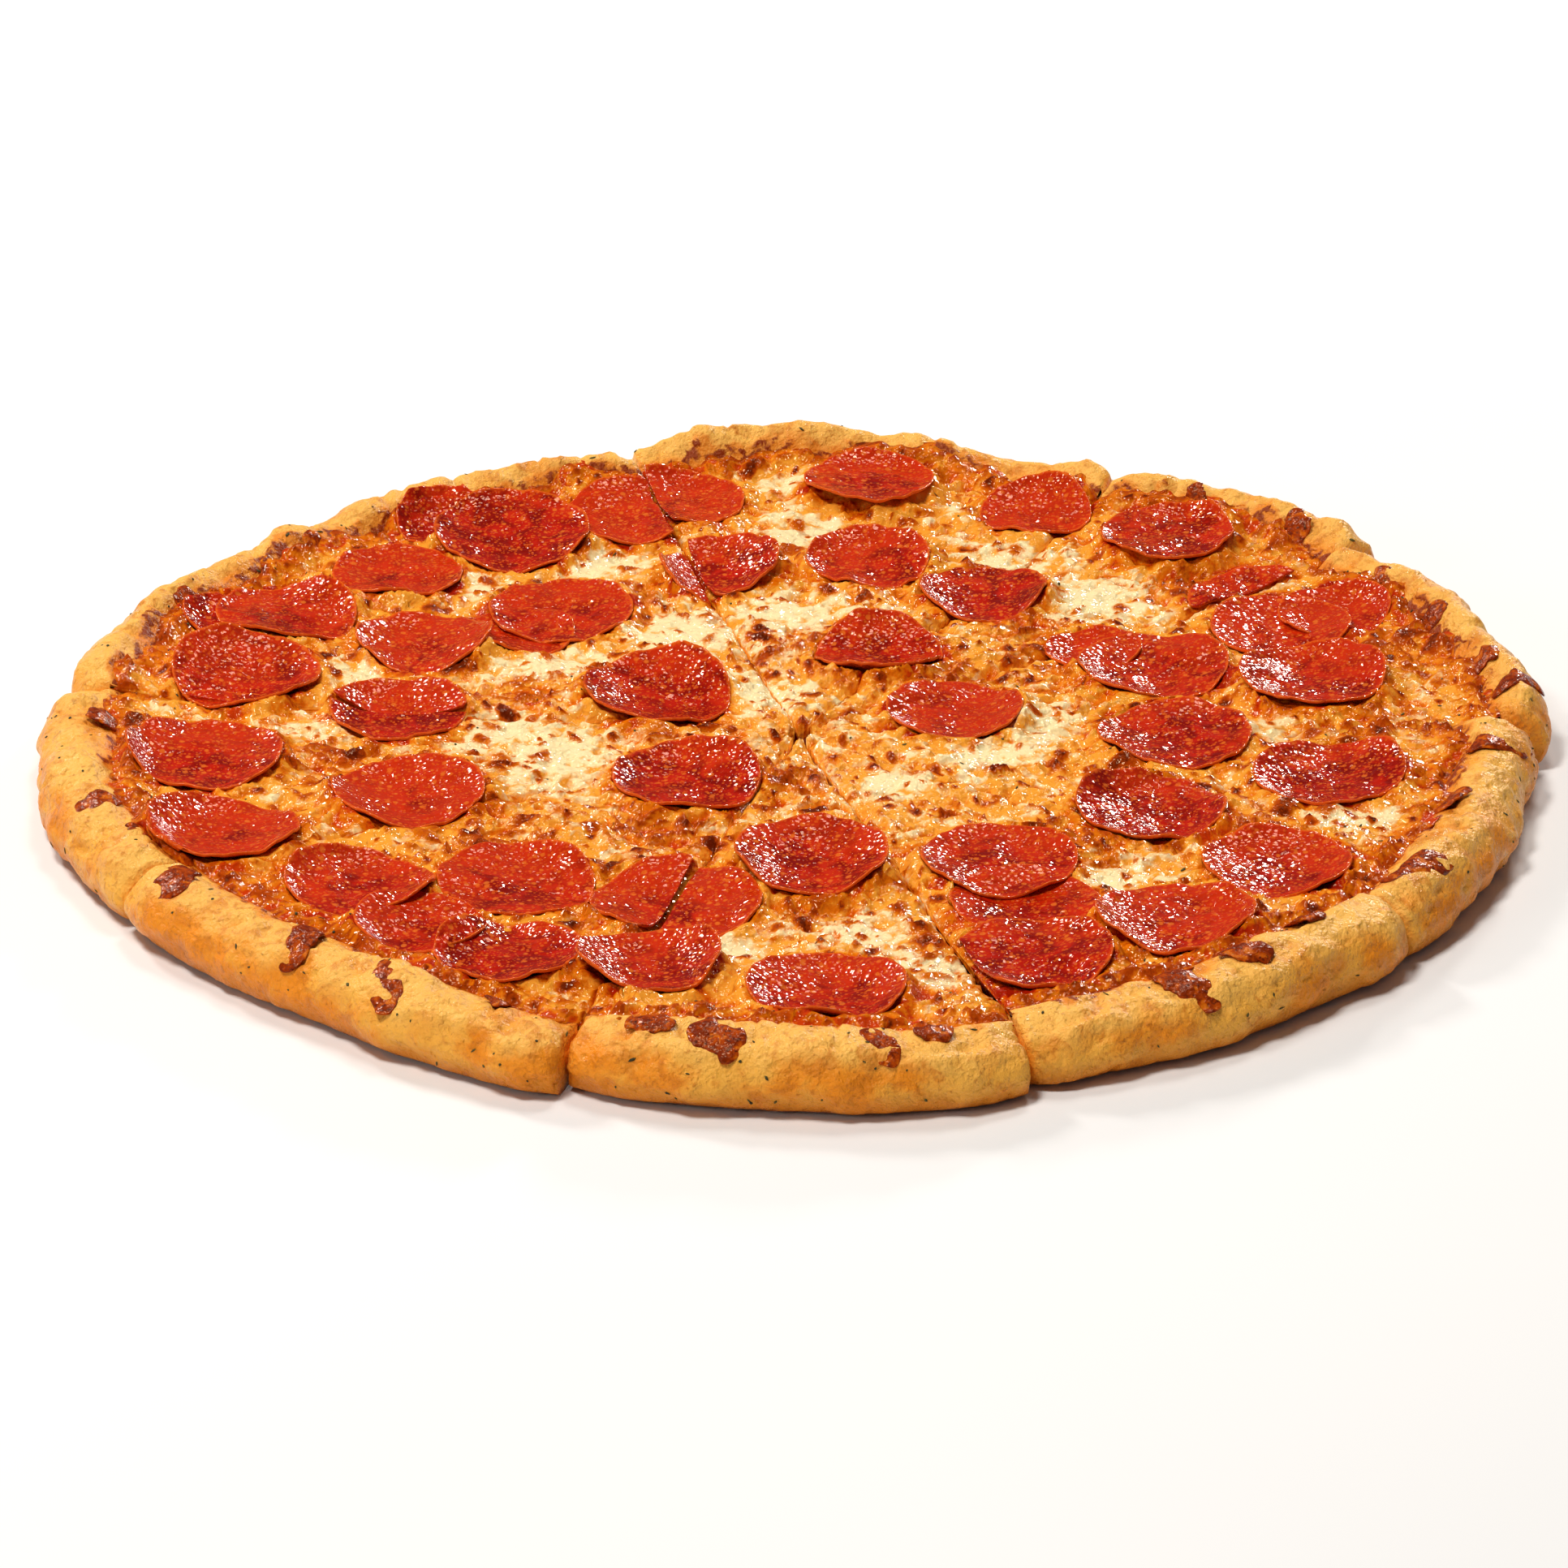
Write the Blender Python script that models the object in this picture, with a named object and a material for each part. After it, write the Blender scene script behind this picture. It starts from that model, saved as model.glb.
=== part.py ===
"""A whole round pepperoni pizza, cut into slices that still keep the round shape.

Every slice is a dough solid with a rolled rim and a cheese solid on top of it. Each pepperoni is
a thin curled disc of its own that rests on the cheese, and a cutter has gone through some of them.
Metres, +Z up. The origin is the middle of the pizza on the face that it rests on, and -Y is the front.
"""

from math import atan2, cos, degrees, hypot, pi, radians, sin

import bmesh
import bpy
from mathutils import Vector
from mathutils.bvhtree import BVHTree

MM = 0.001

# Driving dimensions of a large pizza, in millimetres
BASE_THICKNESS = 4.6
CHEESE_THICKNESS = 4.6
CHEESE_EDGE_THICKNESS = 1.0
CUT_GAP = 1.2
TIP_RADIUS = 1.6
LAYER_GAP = 0.4
PEPPERONI_THICKNESS = 1.8
PEPPERONI_RIPPLE = 0.5
REST_GAP = 0.35

# The rim's outer side, from its underside up: distance inward and share of the rim's height
RIM_UNDERSIDE = 8.5
RIM_SIDE = ((2.8, 0.09), (0.0, 0.40), (1.2, 0.68), (4.5, 0.91))

# The dough thickens a little towards the rim before it rolls up
SWELL_START = 75.0
SWELL_END = 28.0
SWELL_HEIGHT = 1.8

# How the edge of the cheese wanders, and how its top rises and falls
CHEESE_EDGE_WAVE = 1.6
CHEESE_EDGE_SPREAD = 11.0
CHEESE_LIP = 0.8
CHEESE_LONG_RELIEF = 0.6
CHEESE_SHORT_RELIEF = 0.4

# Where the cuts meet, and how a cutter leaves the end of each rim: pressed down and drawn in over
# this length
CUT_MIDDLE = (1.5, 3.0)
END_LENGTH = 9.0
END_DROP = 0.09
END_DRAW = 1.6
CUT_PRESS = 0.9

SEGMENT_ANGLE = 4.0
CHEESE_STEP = 11.5
PEPPERONI_SIDES = 14
# The rings of points over a pepperoni: share of its radius, and 1 on top or -1 underneath
PEPPERONI_RINGS = ((0.5, 1), (0.86, 1), (1.0, 1), (1.0, -1), (0.7, -1))

# Each slice: name, first and last cut in degrees about CUT_MIDDLE, then the rim's outer radius from
# the pizza's middle and its height in millimetres, at even steps from the first cut to the last, and
# how far inward from its outermost point the rim has its crest, the cheese's edge and its inner foot
SLICES = (
    ("right", -0.8, 35.9, (182, 182, 181.5, 181), (18, 19.5, 19.5, 19), (8.5, 14.0, 24.0)),
    ("right_back", 35.9, 60.9, (187, 185, 183, 181, 179.5), (20, 20, 20, 19.5, 19), (8.0, 13.0, 22.0)),
    ("back", 60.9, 104.7, (181, 182, 184, 184, 184, 183), (21, 15, 20, 20.5, 21, 19), (7.5, 12.5, 22.0)),
    ("left_back", 104.7, 174.0, (176, 177, 178, 177, 178.5, 179.5, 178), (20, 18, 18, 17), (8.5, 13.5, 23.0)),
    ("left", 174.0, 210.3, (181, 180, 178, 177), (16, 17.5, 17, 15.5), (11.0, 17.0, 27.0)),
    ("left_front", 210.3, 253.3, (176, 175.5, 174, 177, 182), (15.5, 16.5, 16.5, 15), (12.0, 17.5, 28.0)),
    ("front", 253.3, 286.0, (177.5, 180, 182, 181), (15, 16.5, 16.5, 15), (12.5, 16.5, 28.0)),
    ("right_front", 286.0, 321.7, (176.5, 176.5, 176, 175), (15.5, 16.5, 17, 16), (12.0, 17.0, 28.0)),
    ("right_side", 321.7, 359.2, (175, 175, 175.5, 176.5), (16, 17.5, 18, 17), (11.0, 17.0, 27.0)),
)

# Each pepperoni: name, slice that carries it, middle in millimetres, diameter, how far its edge
# curls up, the direction in degrees that it folds along, how much of the curl is that fold, the
# slope it leans at and the direction that rises. A cut pepperoni keeps only what lies on its slice.
WHOLE = False
CUT = True
PEPPERONI = (
    ("pepperoni_01", "back", (-30, 144), 35, 1.5, 100, 0.5, 0.00, 90, CUT),
    ("pepperoni_02", "back", (20, 152), 34, 1.5, 20, 0.3, -0.12, 90, WHOLE),
    ("pepperoni_03", "right_back", (63, 136), 29, 1.0, 100, 0.5, 0.03, 80, WHOLE),
    ("pepperoni_04", "right_back", (96, 116), 34, 1.5, 0, 0.3, -0.07, 80, WHOLE),
    ("pepperoni_05", "left_back", (-72, 119), 40, 3.0, 10, 0.4, 0.09, 80, WHOLE),
    ("pepperoni_06", "left_back", (-100, 95), 33, 2.0, 120, 0.6, -0.02, 130, WHOLE),
    ("pepperoni_07", "back", (-19, 101), 31, 3.5, 0, 0.5, 0.10, 60, CUT),
    ("pepperoni_08", "left_back", (-18, 98), 31, 5.0, 14, 0.9, 0.10, 60, CUT),
    ("pepperoni_09", "back", (19, 106), 31.5, 2.0, 20, 0.3, 0.12, 90, WHOLE),
    ("pepperoni_10", "right_back", (48, 85), 32, 3.0, 0, 0.7, 0.00, 90, WHOLE),
    ("pepperoni_11", "left_back", (-126, 67), 35, 2.5, 50, 0.6, 0.00, 140, WHOLE),
    ("pepperoni_12", "left_back", (-58, 74), 36, 2.0, 0, 0.4, 0.03, 90, WHOLE),
    ("pepperoni_13", "left_back", (-91, 54), 33.5, 3.0, 0, 0.8, 0.00, 90, WHOLE),
    ("pepperoni_14", "left_back", (-133, 30), 36, 4.0, 140, 0.5, 0.12, 100, WHOLE),
    ("pepperoni_15", "right_back", (117, 80), 36, 1.5, 30, 0.3, 0.00, 90, CUT),
    ("pepperoni_16", "right", (121, 62), 35, 1.5, 0, 0.3, 0.02, 60, CUT),
    ("pepperoni_17", "right", (88, 38), 37, 2.5, 10, 0.5, 0.02, 90, WHOLE),
    ("pepperoni_18", "right", (126, 28), 36, 3.0, 10, 0.5, 0.03, 90, WHOLE),
    ("pepperoni_19", "left_back", (-33, 22), 36, 3.0, 60, 0.5, 0.10, 110, WHOLE),
    ("pepperoni_20", "left_back", (-95, 12), 33, 3.0, 0, 0.5, 0.10, 90, CUT),
    ("pepperoni_21", "left", (-95, 12), 33, 1.5, 0, 0.3, 0.00, 90, CUT),
    ("pepperoni_22", "left", (-139, -18), 37, 3.5, 0, 0.7, 0.05, 150, WHOLE),
    ("pepperoni_23", "right", (21, 47), 32, 3.5, 90, 0.8, 0.00, 90, WHOLE),
    ("pepperoni_24", "right", (39, 12), 33, 2.5, 0, 0.4, 0.00, 90, WHOLE),
    ("pepperoni_25", "right_side", (91, -3), 37, 2.5, 30, 0.5, 0.02, 90, WHOLE),
    ("pepperoni_26", "right_side", (126, -27), 36, 2.5, 10, 0.4, 0.03, 60, WHOLE),
    ("pepperoni_27", "right_side", (83, -45), 35, 3.0, 140, 0.6, 0.05, 140, WHOLE),
    ("pepperoni_28", "left", (-90, -36), 36, 2.5, 10, 0.5, 0.03, 100, WHOLE),
    ("pepperoni_29", "left_front", (-25, -29), 35, 3.0, 50, 0.4, 0.05, 90, WHOLE),
    ("pepperoni_30", "left", (-131, -61), 35, 3.0, 150, 0.6, 0.03, 150, WHOLE),
    ("pepperoni_31", "left_front", (-63, -84), 36, 1.5, 60, 0.3, 0.08, 90, WHOLE),
    ("pepperoni_32", "left_front", (-27, -94), 38, 3.0, 70, 0.6, 0.04, 170, CUT),
    ("pepperoni_33", "front", (-26, -95), 38, 2.5, 0, 0.5, 0.02, 90, CUT),
    ("pepperoni_34", "front", (4, -76), 35, 3.0, 10, 0.4, 0.06, 90, WHOLE),
    ("pepperoni_35", "right_front", (47, -73), 36, 2.5, 20, 0.4, 0.04, 120, WHOLE),
    ("pepperoni_36", "left_front", (-98, -88), 34, 3.0, 150, 0.6, 0.04, 150, WHOLE),
    ("pepperoni_37", "right_side", (110, -78), 34, 2.5, 150, 0.5, 0.03, 130, WHOLE),
    ("pepperoni_38", "right_front", (85, -108), 36, 3.0, 10, 0.7, 0.02, 120, WHOLE),
    ("pepperoni_39", "left_front", (-63, -125), 33, 3.0, 150, 0.5, 0.02, 120, WHOLE),
    ("pepperoni_40", "front", (-32, -132), 32, 4.0, 20, 0.7, 0.00, 90, WHOLE),
    ("pepperoni_41", "front", (7, -143), 35, 2.5, 0, 0.5, 0.02, 60, WHOLE),
    ("pepperoni_42", "right_front", (52, -127), 37, 3.0, 30, 0.7, 0.04, 120, CUT),
)

# Shreds of cheese that fell on the rim and browned there: slice, direction in degrees, distance
# inward from the rim's outermost point, length and width in millimetres, turn from the rim's own line
STRIPS = (
    ("left_front", 238.5, 8.0, 15.0, 5.0, 62),
    ("left_front", 229.0, 8.5, 13.0, 5.0, 70),
    ("left_front", 213.8, 8.0, 11.0, 7.0, 20),
    ("left", 198.5, 10.0, 9.0, 5.5, 75),
    ("front", 259.0, 11.0, 9.0, 5.0, 10),
    ("front", 264.0, 7.5, 11.0, 6.0, 25),
    ("front", 275.5, 8.0, 10.0, 4.5, 60),
    ("front", 279.5, 12.0, 7.0, 4.5, 20),
    ("right_front", 299.5, 8.5, 14.0, 6.5, 70),
    ("right_front", 306.0, 11.0, 10.0, 4.5, 30),
    ("right_side", 327.5, 9.5, 18.0, 5.5, 20),
    ("right_side", 352.5, 8.0, 14.0, 5.0, 60),
    ("right", 3.5, 8.0, 11.0, 5.0, 70),
)

STRIP_RINGS = 5
STRIP_SIDES = 8
STRIP_END = 0.42
STRIP_THICKNESS = 3.0
STRIP_LIFT = 0.3

DOUGH_COLOUR = (0.80, 0.47, 0.14, 1.0)
CHEESE_COLOUR = (0.88, 0.62, 0.25, 1.0)
PEPPERONI_COLOUR = (0.52, 0.06, 0.03, 1.0)


def smooth(share):
    """An S curve from 0 to 1."""
    share = min(1.0, max(0.0, share))
    return share * share * (3 - 2 * share)


def profile(values, share):
    """A smooth curve through even steps of values, read at a share from 0 to 1."""
    place = min(max(share, 0.0), 1.0) * (len(values) - 1)
    step = min(int(place), len(values) - 2)
    t = place - step
    before = values[max(step - 1, 0)]
    here, there = values[step], values[step + 1]
    after = values[min(step + 2, len(values) - 1)]
    bend = (2 * before - 5 * here + 4 * there - after) * t + (3 * here - before - 3 * there + after) * t * t
    return here + 0.5 * t * (there - before + bend)


class Slice:
    """One slice: its two cuts, its rim, and the tops of its dough and of its cheese."""

    def __init__(self, name, first, last, radii, heights, distances):
        self.name = name
        self.first = radians(first)
        self.last = radians(last)
        self.radii = radii
        self.heights = heights
        self.crest, self.edge, self.foot = distances
        half = (self.last - self.first) / 2
        middle = (self.last + self.first) / 2
        # Pushed out along its middle, the slice leaves a gap of even width at both cuts
        shift = CUT_GAP / 2 / sin(half)
        self.push = (CUT_MIDDLE[0] + shift * cos(middle), CUT_MIDDLE[1] + shift * sin(middle))
        self.segments = round(degrees(2 * half) / SEGMENT_ANGLE)

    def angle(self, share):
        return self.first + (self.last - self.first) * share

    def end_nearness(self, share):
        """1 at a cut, falling to 0 one END_LENGTH away from it along the rim."""
        arc = (self.last - self.first) * self.radii[0]
        from_end = min(share, 1 - share) * arc
        return 1 - smooth(from_end / END_LENGTH)

    def rim_radius(self, share):
        """Distance from where the slice's two cuts meet to the rim's outermost point."""
        angle = self.angle(share)
        wave = 0.5 * sin(9 * angle + 1.3) + 0.4 * sin(17 * angle + 0.4)
        offset = self.push[0] * cos(angle) + self.push[1] * sin(angle)
        return profile(self.radii, share) - offset + wave - END_DRAW * self.end_nearness(share)

    def rim_height(self, share):
        angle = self.angle(share)
        wave = 0.4 * sin(7 * angle + 0.7) + 0.4 * sin(15 * angle + 2.1)
        return (profile(self.heights, share) + wave) * (1 - END_DROP * self.end_nearness(share))

    def dough_top(self, share, inward):
        """Height of the dough at a distance inward from the rim's outermost point."""
        swell = smooth((SWELL_START - inward) / (SWELL_START - SWELL_END))
        base = BASE_THICKNESS + SWELL_HEIGHT * swell
        rise = smooth((self.foot - inward) / (self.foot - self.crest))
        return base + (self.rim_height(share) - base) * rise

    def cheese_edge(self, share):
        angle = self.angle(share)
        return self.edge + CHEESE_EDGE_WAVE * sin(17 * angle + 0.5) * cos(5 * angle)

    def slope_stops(self, share):
        """Where the dough's top changes slope between the cheese's edge and the flat middle."""
        edge = self.cheese_edge(share)
        return (edge, (edge + self.foot) / 2, self.foot, (self.foot + SWELL_START) / 2, SWELL_START)

    def cheese_top(self, share, inward):
        """Height of the cheese, which thins out as it climbs the inside of the rim."""
        angle = self.angle(share)
        out = self.rim_radius(share) - inward
        x, y = out * cos(angle), out * sin(angle)
        spread = smooth((inward - self.edge + CHEESE_EDGE_WAVE) / CHEESE_EDGE_SPREAD)
        thickness = CHEESE_EDGE_THICKNESS + (CHEESE_THICKNESS - CHEESE_EDGE_THICKNESS) * spread
        relief = CHEESE_LONG_RELIEF * sin(x / 9.0 + 0.8) * sin(y / 11.0 + 0.3)
        relief += CHEESE_SHORT_RELIEF * sin((x + y) / 6.5)
        return self.dough_top(share, inward) + LAYER_GAP + thickness + relief * spread

    def place(self, share, out):
        """The point at a distance out from where the slice's two cuts meet."""
        angle = self.angle(share)
        return (self.push[0] + out * cos(angle), self.push[1] + out * sin(angle))

    def local(self, x, y):
        """The share across the slice and the distance out of a point."""
        dx, dy = x - self.push[0], y - self.push[1]
        middle = (self.first + self.last) / 2
        turn = (atan2(dy, dx) - middle + pi) % (2 * pi) - pi
        share = 0.5 + turn / (self.last - self.first)
        return min(1.0, max(0.0, share)), hypot(dx, dy)

    def surface(self, x, y):
        """Height of the cheese, or of the bare rim outside it, under a point."""
        share, out = self.local(x, y)
        inward = max(self.rim_radius(share) - out, self.crest)
        if inward < self.cheese_edge(share):
            return self.dough_top(share, inward)
        return self.cheese_top(share, inward)

    def reach(self, x, y, direction):
        """How far a ray from a point on the slice runs before it meets one of the two cuts."""
        found = 1000.0
        for cut, side in ((self.first, 1), (self.last, -1)):
            normal = (-sin(cut) * side, cos(cut) * side)
            depth = (x - self.push[0]) * normal[0] + (y - self.push[1]) * normal[1]
            approach = -(cos(direction) * normal[0] + sin(direction) * normal[1])
            if approach > 1e-6:
                found = min(found, depth / approach)
        return found


def clear_scene():
    for obj in list(bpy.data.objects):
        bpy.data.objects.remove(obj, do_unlink=True)


def material(name, colour, roughness):
    made = bpy.data.materials.new(name)
    made.use_nodes = True
    shader = made.node_tree.nodes["Principled BSDF"]
    shader.inputs["Base Color"].default_value = colour
    shader.inputs["Roughness"].default_value = roughness
    shader.inputs["Metallic"].default_value = 0.0
    return made


def add_object(name, points, faces, finish, parent):
    """A named object from points in millimetres, shaded smooth except at its sharp edges."""
    mesh = bpy.data.meshes.new(name)
    mesh.from_pydata([Vector(p) * MM for p in points], [], faces)
    mesh.materials.append(finish)
    shape = bmesh.new()
    shape.from_mesh(mesh)
    bmesh.ops.recalc_face_normals(shape, faces=shape.faces)
    shape.to_mesh(mesh)
    shape.free()
    mesh.shade_smooth()
    mesh.set_sharp_from_angle(angle=radians(40))
    obj = bpy.data.objects.new(name, mesh)
    bpy.context.collection.objects.link(obj)
    obj.parent = parent
    return obj


def split(points, quad):
    """Two triangles along a quad's shorter diagonal, so that surfaces that match are split alike."""
    a, b, c, d = quad
    first, second = (Vector(points[a]) - Vector(points[c])), (Vector(points[b]) - Vector(points[d]))
    if first.length < second.length:
        return [(a, b, c), (a, c, d)]
    return [(a, b, d), (b, c, d)]


def loft(piece, sections):
    """Points and faces of the closed body through one closed section, as (out, height) pairs, at each
    share across the slice."""
    points = []
    faces = []
    count = len(sections[0])
    for step, section in enumerate(sections):
        share = step / (len(sections) - 1)
        for out, height in section:
            x, y = piece.place(share, out)
            points.append((x, y, height))
    for step in range(len(sections) - 1):
        here, there = step * count, (step + 1) * count
        for i in range(count):
            j = (i + 1) % count
            faces += split(points, (here + i, here + j, there + j, there + i))
    faces.append(tuple(range(count)))
    faces.append(tuple(range(len(points) - count, len(points))))
    return points, faces


def dough_section(piece, share):
    """The outline of the dough at one share across the slice, from the tip along the bottom, round the
    rolled rim and back to the tip."""
    radius, height = piece.rim_radius(share), piece.rim_height(share)
    bottom = [(TIP_RADIUS, 0.0), (radius - RIM_UNDERSIDE, 0.0)]
    outer = [(radius - inward, share_up * height) for inward, share_up in RIM_SIDE]
    crest = [(radius - piece.crest, height)]
    inner = [(radius - u, piece.dough_top(share, u)) for u in piece.slope_stops(share)]
    return bottom + outer + crest + inner + [(TIP_RADIUS, BASE_THICKNESS)]


def cheese_section(piece, share):
    """The outline of the cheese: its underside follows the dough, and its top is uneven."""
    radius, edge = piece.rim_radius(share), piece.cheese_edge(share)
    under = [(TIP_RADIUS, BASE_THICKNESS + LAYER_GAP)]
    for inward in reversed(piece.slope_stops(share)):
        under.append((radius - inward, piece.dough_top(share, inward) + LAYER_GAP))
    # The two cut edges are pressed down a little
    press = CUT_PRESS if share in (0.0, 1.0) else 0.0
    steps = round((piece.radii[0] - piece.edge - TIP_RADIUS) / CHEESE_STEP)
    first = edge + CHEESE_LIP
    top = [(radius - first, piece.cheese_top(share, first) - press / 3)]
    for step in range(1, steps + 1):
        inward = first + (radius - TIP_RADIUS - first) * step / steps
        top.append((radius - inward, piece.cheese_top(share, inward) - press))
    return under + top


def rim_strip(piece, angle, inward, length, width, turn, finish):
    """A shred of browned cheese as a flattened pod that lies across the rim, sunk a little into it."""
    share = (radians(angle) - piece.first) / (piece.last - piece.first)
    heading = radians(angle + 90 - turn)
    rings, sides = STRIP_RINGS, STRIP_SIDES
    x0, y0 = piece.place(share, piece.rim_radius(share) - inward)
    points = []
    for ring in range(rings):
        travel = -1 + 2 * ring / (rings - 1)
        fullness = max(STRIP_END, (1 - travel * travel) ** 0.5)
        x = x0 + travel * length / 2 * cos(heading)
        y = y0 + travel * length / 2 * sin(heading)
        for side in range(sides):
            turned = 2 * pi * side / sides
            across = cos(turned) * width / 2 * fullness
            px = x - across * sin(heading)
            py = y + across * cos(heading)
            lift = sin(turned) * STRIP_THICKNESS / 2 * fullness + STRIP_LIFT
            points.append((px, py, rim_surface(piece, px, py) + lift))
    faces = [tuple(range(sides)), tuple(range(sides * (rings - 1), sides * rings))]
    for ring in range(rings - 1):
        for side in range(sides):
            here, there = ring * sides, (ring + 1) * sides
            after = (side + 1) % sides
            faces.append((here + side, here + after, there + after, there + side))
    return add_object("strip", points, faces, finish, None)


def rim_surface(piece, x, y):
    """Height of the rim's upper skin, from its steep outside over the crest to the cheese."""
    share, out = piece.local(x, y)
    inward = max(piece.rim_radius(share) - out, 1.0)
    if inward >= piece.crest:
        return piece.dough_top(share, inward)
    shoulder = RIM_SIDE[-2][1]
    return piece.rim_height(share) * (shoulder + (1 - shoulder) * sin(pi / 2 * inward / piece.crest))


def fuse(body, shapes):
    """Joins shapes to a body with one Boolean union, and removes them."""
    group = bpy.data.collections.new("to_join")
    bpy.context.scene.collection.children.link(group)
    for shape in shapes:
        bpy.context.collection.objects.unlink(shape)
        group.objects.link(shape)
    union = body.modifiers.new("strips", "BOOLEAN")
    union.operation = "UNION"
    union.operand_type = "COLLECTION"
    union.collection = group
    union.solver = "EXACT"
    bpy.context.view_layer.update()
    joined = bpy.data.meshes.new_from_object(body.evaluated_get(bpy.context.evaluated_depsgraph_get()))
    body.modifiers.clear()
    body.data = joined
    joined.name = body.name
    for shape in shapes:
        bpy.data.objects.remove(shape, do_unlink=True)
    bpy.data.collections.remove(group)


def pepperoni_outline(piece, middle, radius, cut):
    """An anchor point and how far the edge is from it in each direction."""
    x, y = middle
    if cut:
        share, _ = piece.local(x, y)
        # The anchor of a cut pepperoni moves onto its slice, half way to its far edge
        turn = piece.last - pi / 2 if share > 0.5 else piece.first + pi / 2
        near = piece.reach(x, y, turn + pi)
        move = (radius - near) / 2
        x, y = x + move * cos(turn), y + move * sin(turn)
    distances = []
    for side in range(PEPPERONI_SIDES):
        direction = 2 * pi * side / PEPPERONI_SIDES
        dx, dy = x - middle[0], y - middle[1]
        along = dx * cos(direction) + dy * sin(direction)
        across = dx * sin(direction) - dy * cos(direction)
        distance = (radius * radius - across * across) ** 0.5 - along
        if cut:
            distance = min(distance, piece.reach(x, y, direction))
        distances.append(distance)
    return (x, y), distances


def pepperoni_shape(piece, middle, diameter, curl, fold_turn, fold, slope, rise_turn, cut):
    """Points and faces of a curled disc that follows the cheese under it."""
    radius = diameter / 2
    anchor, distances = pepperoni_outline(piece, middle, radius, cut)
    fold_line = (cos(radians(fold_turn)), sin(radians(fold_turn)))
    rise_line = (cos(radians(rise_turn)), sin(radians(rise_turn)))

    def height(x, y):
        dx, dy = x - middle[0], y - middle[1]
        share = hypot(dx, dy) / radius
        across = (dx * fold_line[0] + dy * fold_line[1]) / radius
        bowl = curl * (1 - fold) * share**2.4
        trough = curl * fold * 1.5 * abs(across) ** 2.2
        ripple = PEPPERONI_RIPPLE * share**2 * sin(3 * atan2(dy, dx) + middle[0])
        lean = slope * (dx * rise_line[0] + dy * rise_line[1])
        return piece.surface(x, y) + bowl + trough + ripple + lean

    def skin(x, y, side):
        """A point half the thickness above or below the middle sheet, square to it."""
        step = 0.5
        gradient_x = (height(x + step, y) - height(x - step, y)) / (2 * step)
        gradient_y = (height(x, y + step) - height(x, y - step)) / (2 * step)
        normal = Vector((-gradient_x, -gradient_y, 1)).normalized()
        return Vector((x, y, height(x, y))) + normal * (side * PEPPERONI_THICKNESS / 2)

    def ring(share, side):
        return [
            skin(
                anchor[0] + share * distance * cos(2 * pi * i / PEPPERONI_SIDES),
                anchor[1] + share * distance * sin(2 * pi * i / PEPPERONI_SIDES),
                side,
            )
            for i, distance in enumerate(distances)
        ]

    loops = [ring(share, side) for share, side in PEPPERONI_RINGS]
    points = [skin(*anchor, 1)]
    for loop in loops:
        points += loop
    points.append(skin(*anchor, -1))
    count = PEPPERONI_SIDES
    faces = []
    for i in range(count):
        j = (i + 1) % count
        faces.append((0, 1 + i, 1 + j))
        for k in range(len(loops) - 1):
            here, there = 1 + k * count, 1 + (k + 1) * count
            faces.append((here + i, there + i, there + j, here + j))
        last = 1 + (len(loops) - 1) * count
        faces.append((len(points) - 1, last + j, last + i))
    return points, faces


def samples(points, faces):
    """The points of a mesh, the middles of its faces and the middles of their sides."""
    found = [Vector(p) for p in points]
    for face in faces:
        corners = [Vector(points[i]) for i in face]
        found.append(sum(corners, Vector()) / len(corners))
        found += [(a + b) / 2 for a, b in zip(corners, corners[1:] + corners[:1])]
    return found


def lift_to_rest(points, faces, supports):
    """How far a piece rises, or sinks if negative, so that it just clears what lies under it."""
    below, above = Vector((0, 0, -1)), Vector((0, 0, 1))
    own = BVHTree.FromPolygons(points, faces)
    low = Vector((min(p[0] for p in points), min(p[1] for p in points), 0))
    high = Vector((max(p[0] for p in points), max(p[1] for p in points), 0))
    needed = []
    for tree, support_points in supports:
        for point in samples(points, faces):
            hit = tree.ray_cast(Vector((point.x, point.y, 200)), below)[0]
            if hit:
                needed.append(hit.z - point.z)
        for point in support_points:
            if low.x < point.x < high.x and low.y < point.y < high.y:
                hit = own.ray_cast(Vector((point.x, point.y, -200)), above)[0]
                if hit:
                    needed.append(point.z - hit.z)
    return max(needed) + REST_GAP


def as_support(points, faces):
    return BVHTree.FromPolygons([tuple(p) for p in points], faces), samples(points, faces)


def world_mesh(obj):
    """An object's points in millimetres and its faces."""
    points = [v.co / MM for v in obj.data.vertices]
    return points, [tuple(f.vertices) for f in obj.data.polygons]


def build_slices(parent, dough, cheese):
    """Every slice's dough and cheese, and both as supports for the pepperoni."""
    slices = {}
    supports = []
    for row in SLICES:
        piece = Slice(*row)
        slices[piece.name] = piece
        shares = [step / piece.segments for step in range(piece.segments + 1)]
        body = add_object(
            f"dough_{piece.name}", *loft(piece, [dough_section(piece, s) for s in shares]), dough, parent
        )
        strips = [rim_strip(piece, *strip[1:], dough) for strip in STRIPS if strip[0] == piece.name]
        if strips:
            fuse(body, strips)
        layer = loft(piece, [cheese_section(piece, s) for s in shares])
        add_object(f"cheese_{piece.name}", *layer, cheese, parent)
        supports.append(as_support(*layer))
        supports.append(as_support(*world_mesh(body)))
    return slices, supports


def build_pepperoni(slices, supports, finish, parent):
    """Every pepperoni, each one resting on what was laid before it."""
    for name, carrier, middle, diameter, curl, fold_turn, fold, slope, rise_turn, cut in PEPPERONI:
        piece = slices[carrier]
        points, faces = pepperoni_shape(
            piece, middle, diameter, curl, fold_turn, fold, slope, rise_turn, cut
        )
        rise = Vector((0, 0, lift_to_rest(points, faces, supports)))
        points = [p + rise for p in points]
        add_object(name, points, faces, finish, parent)
        supports.append(as_support(points, faces))


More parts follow.
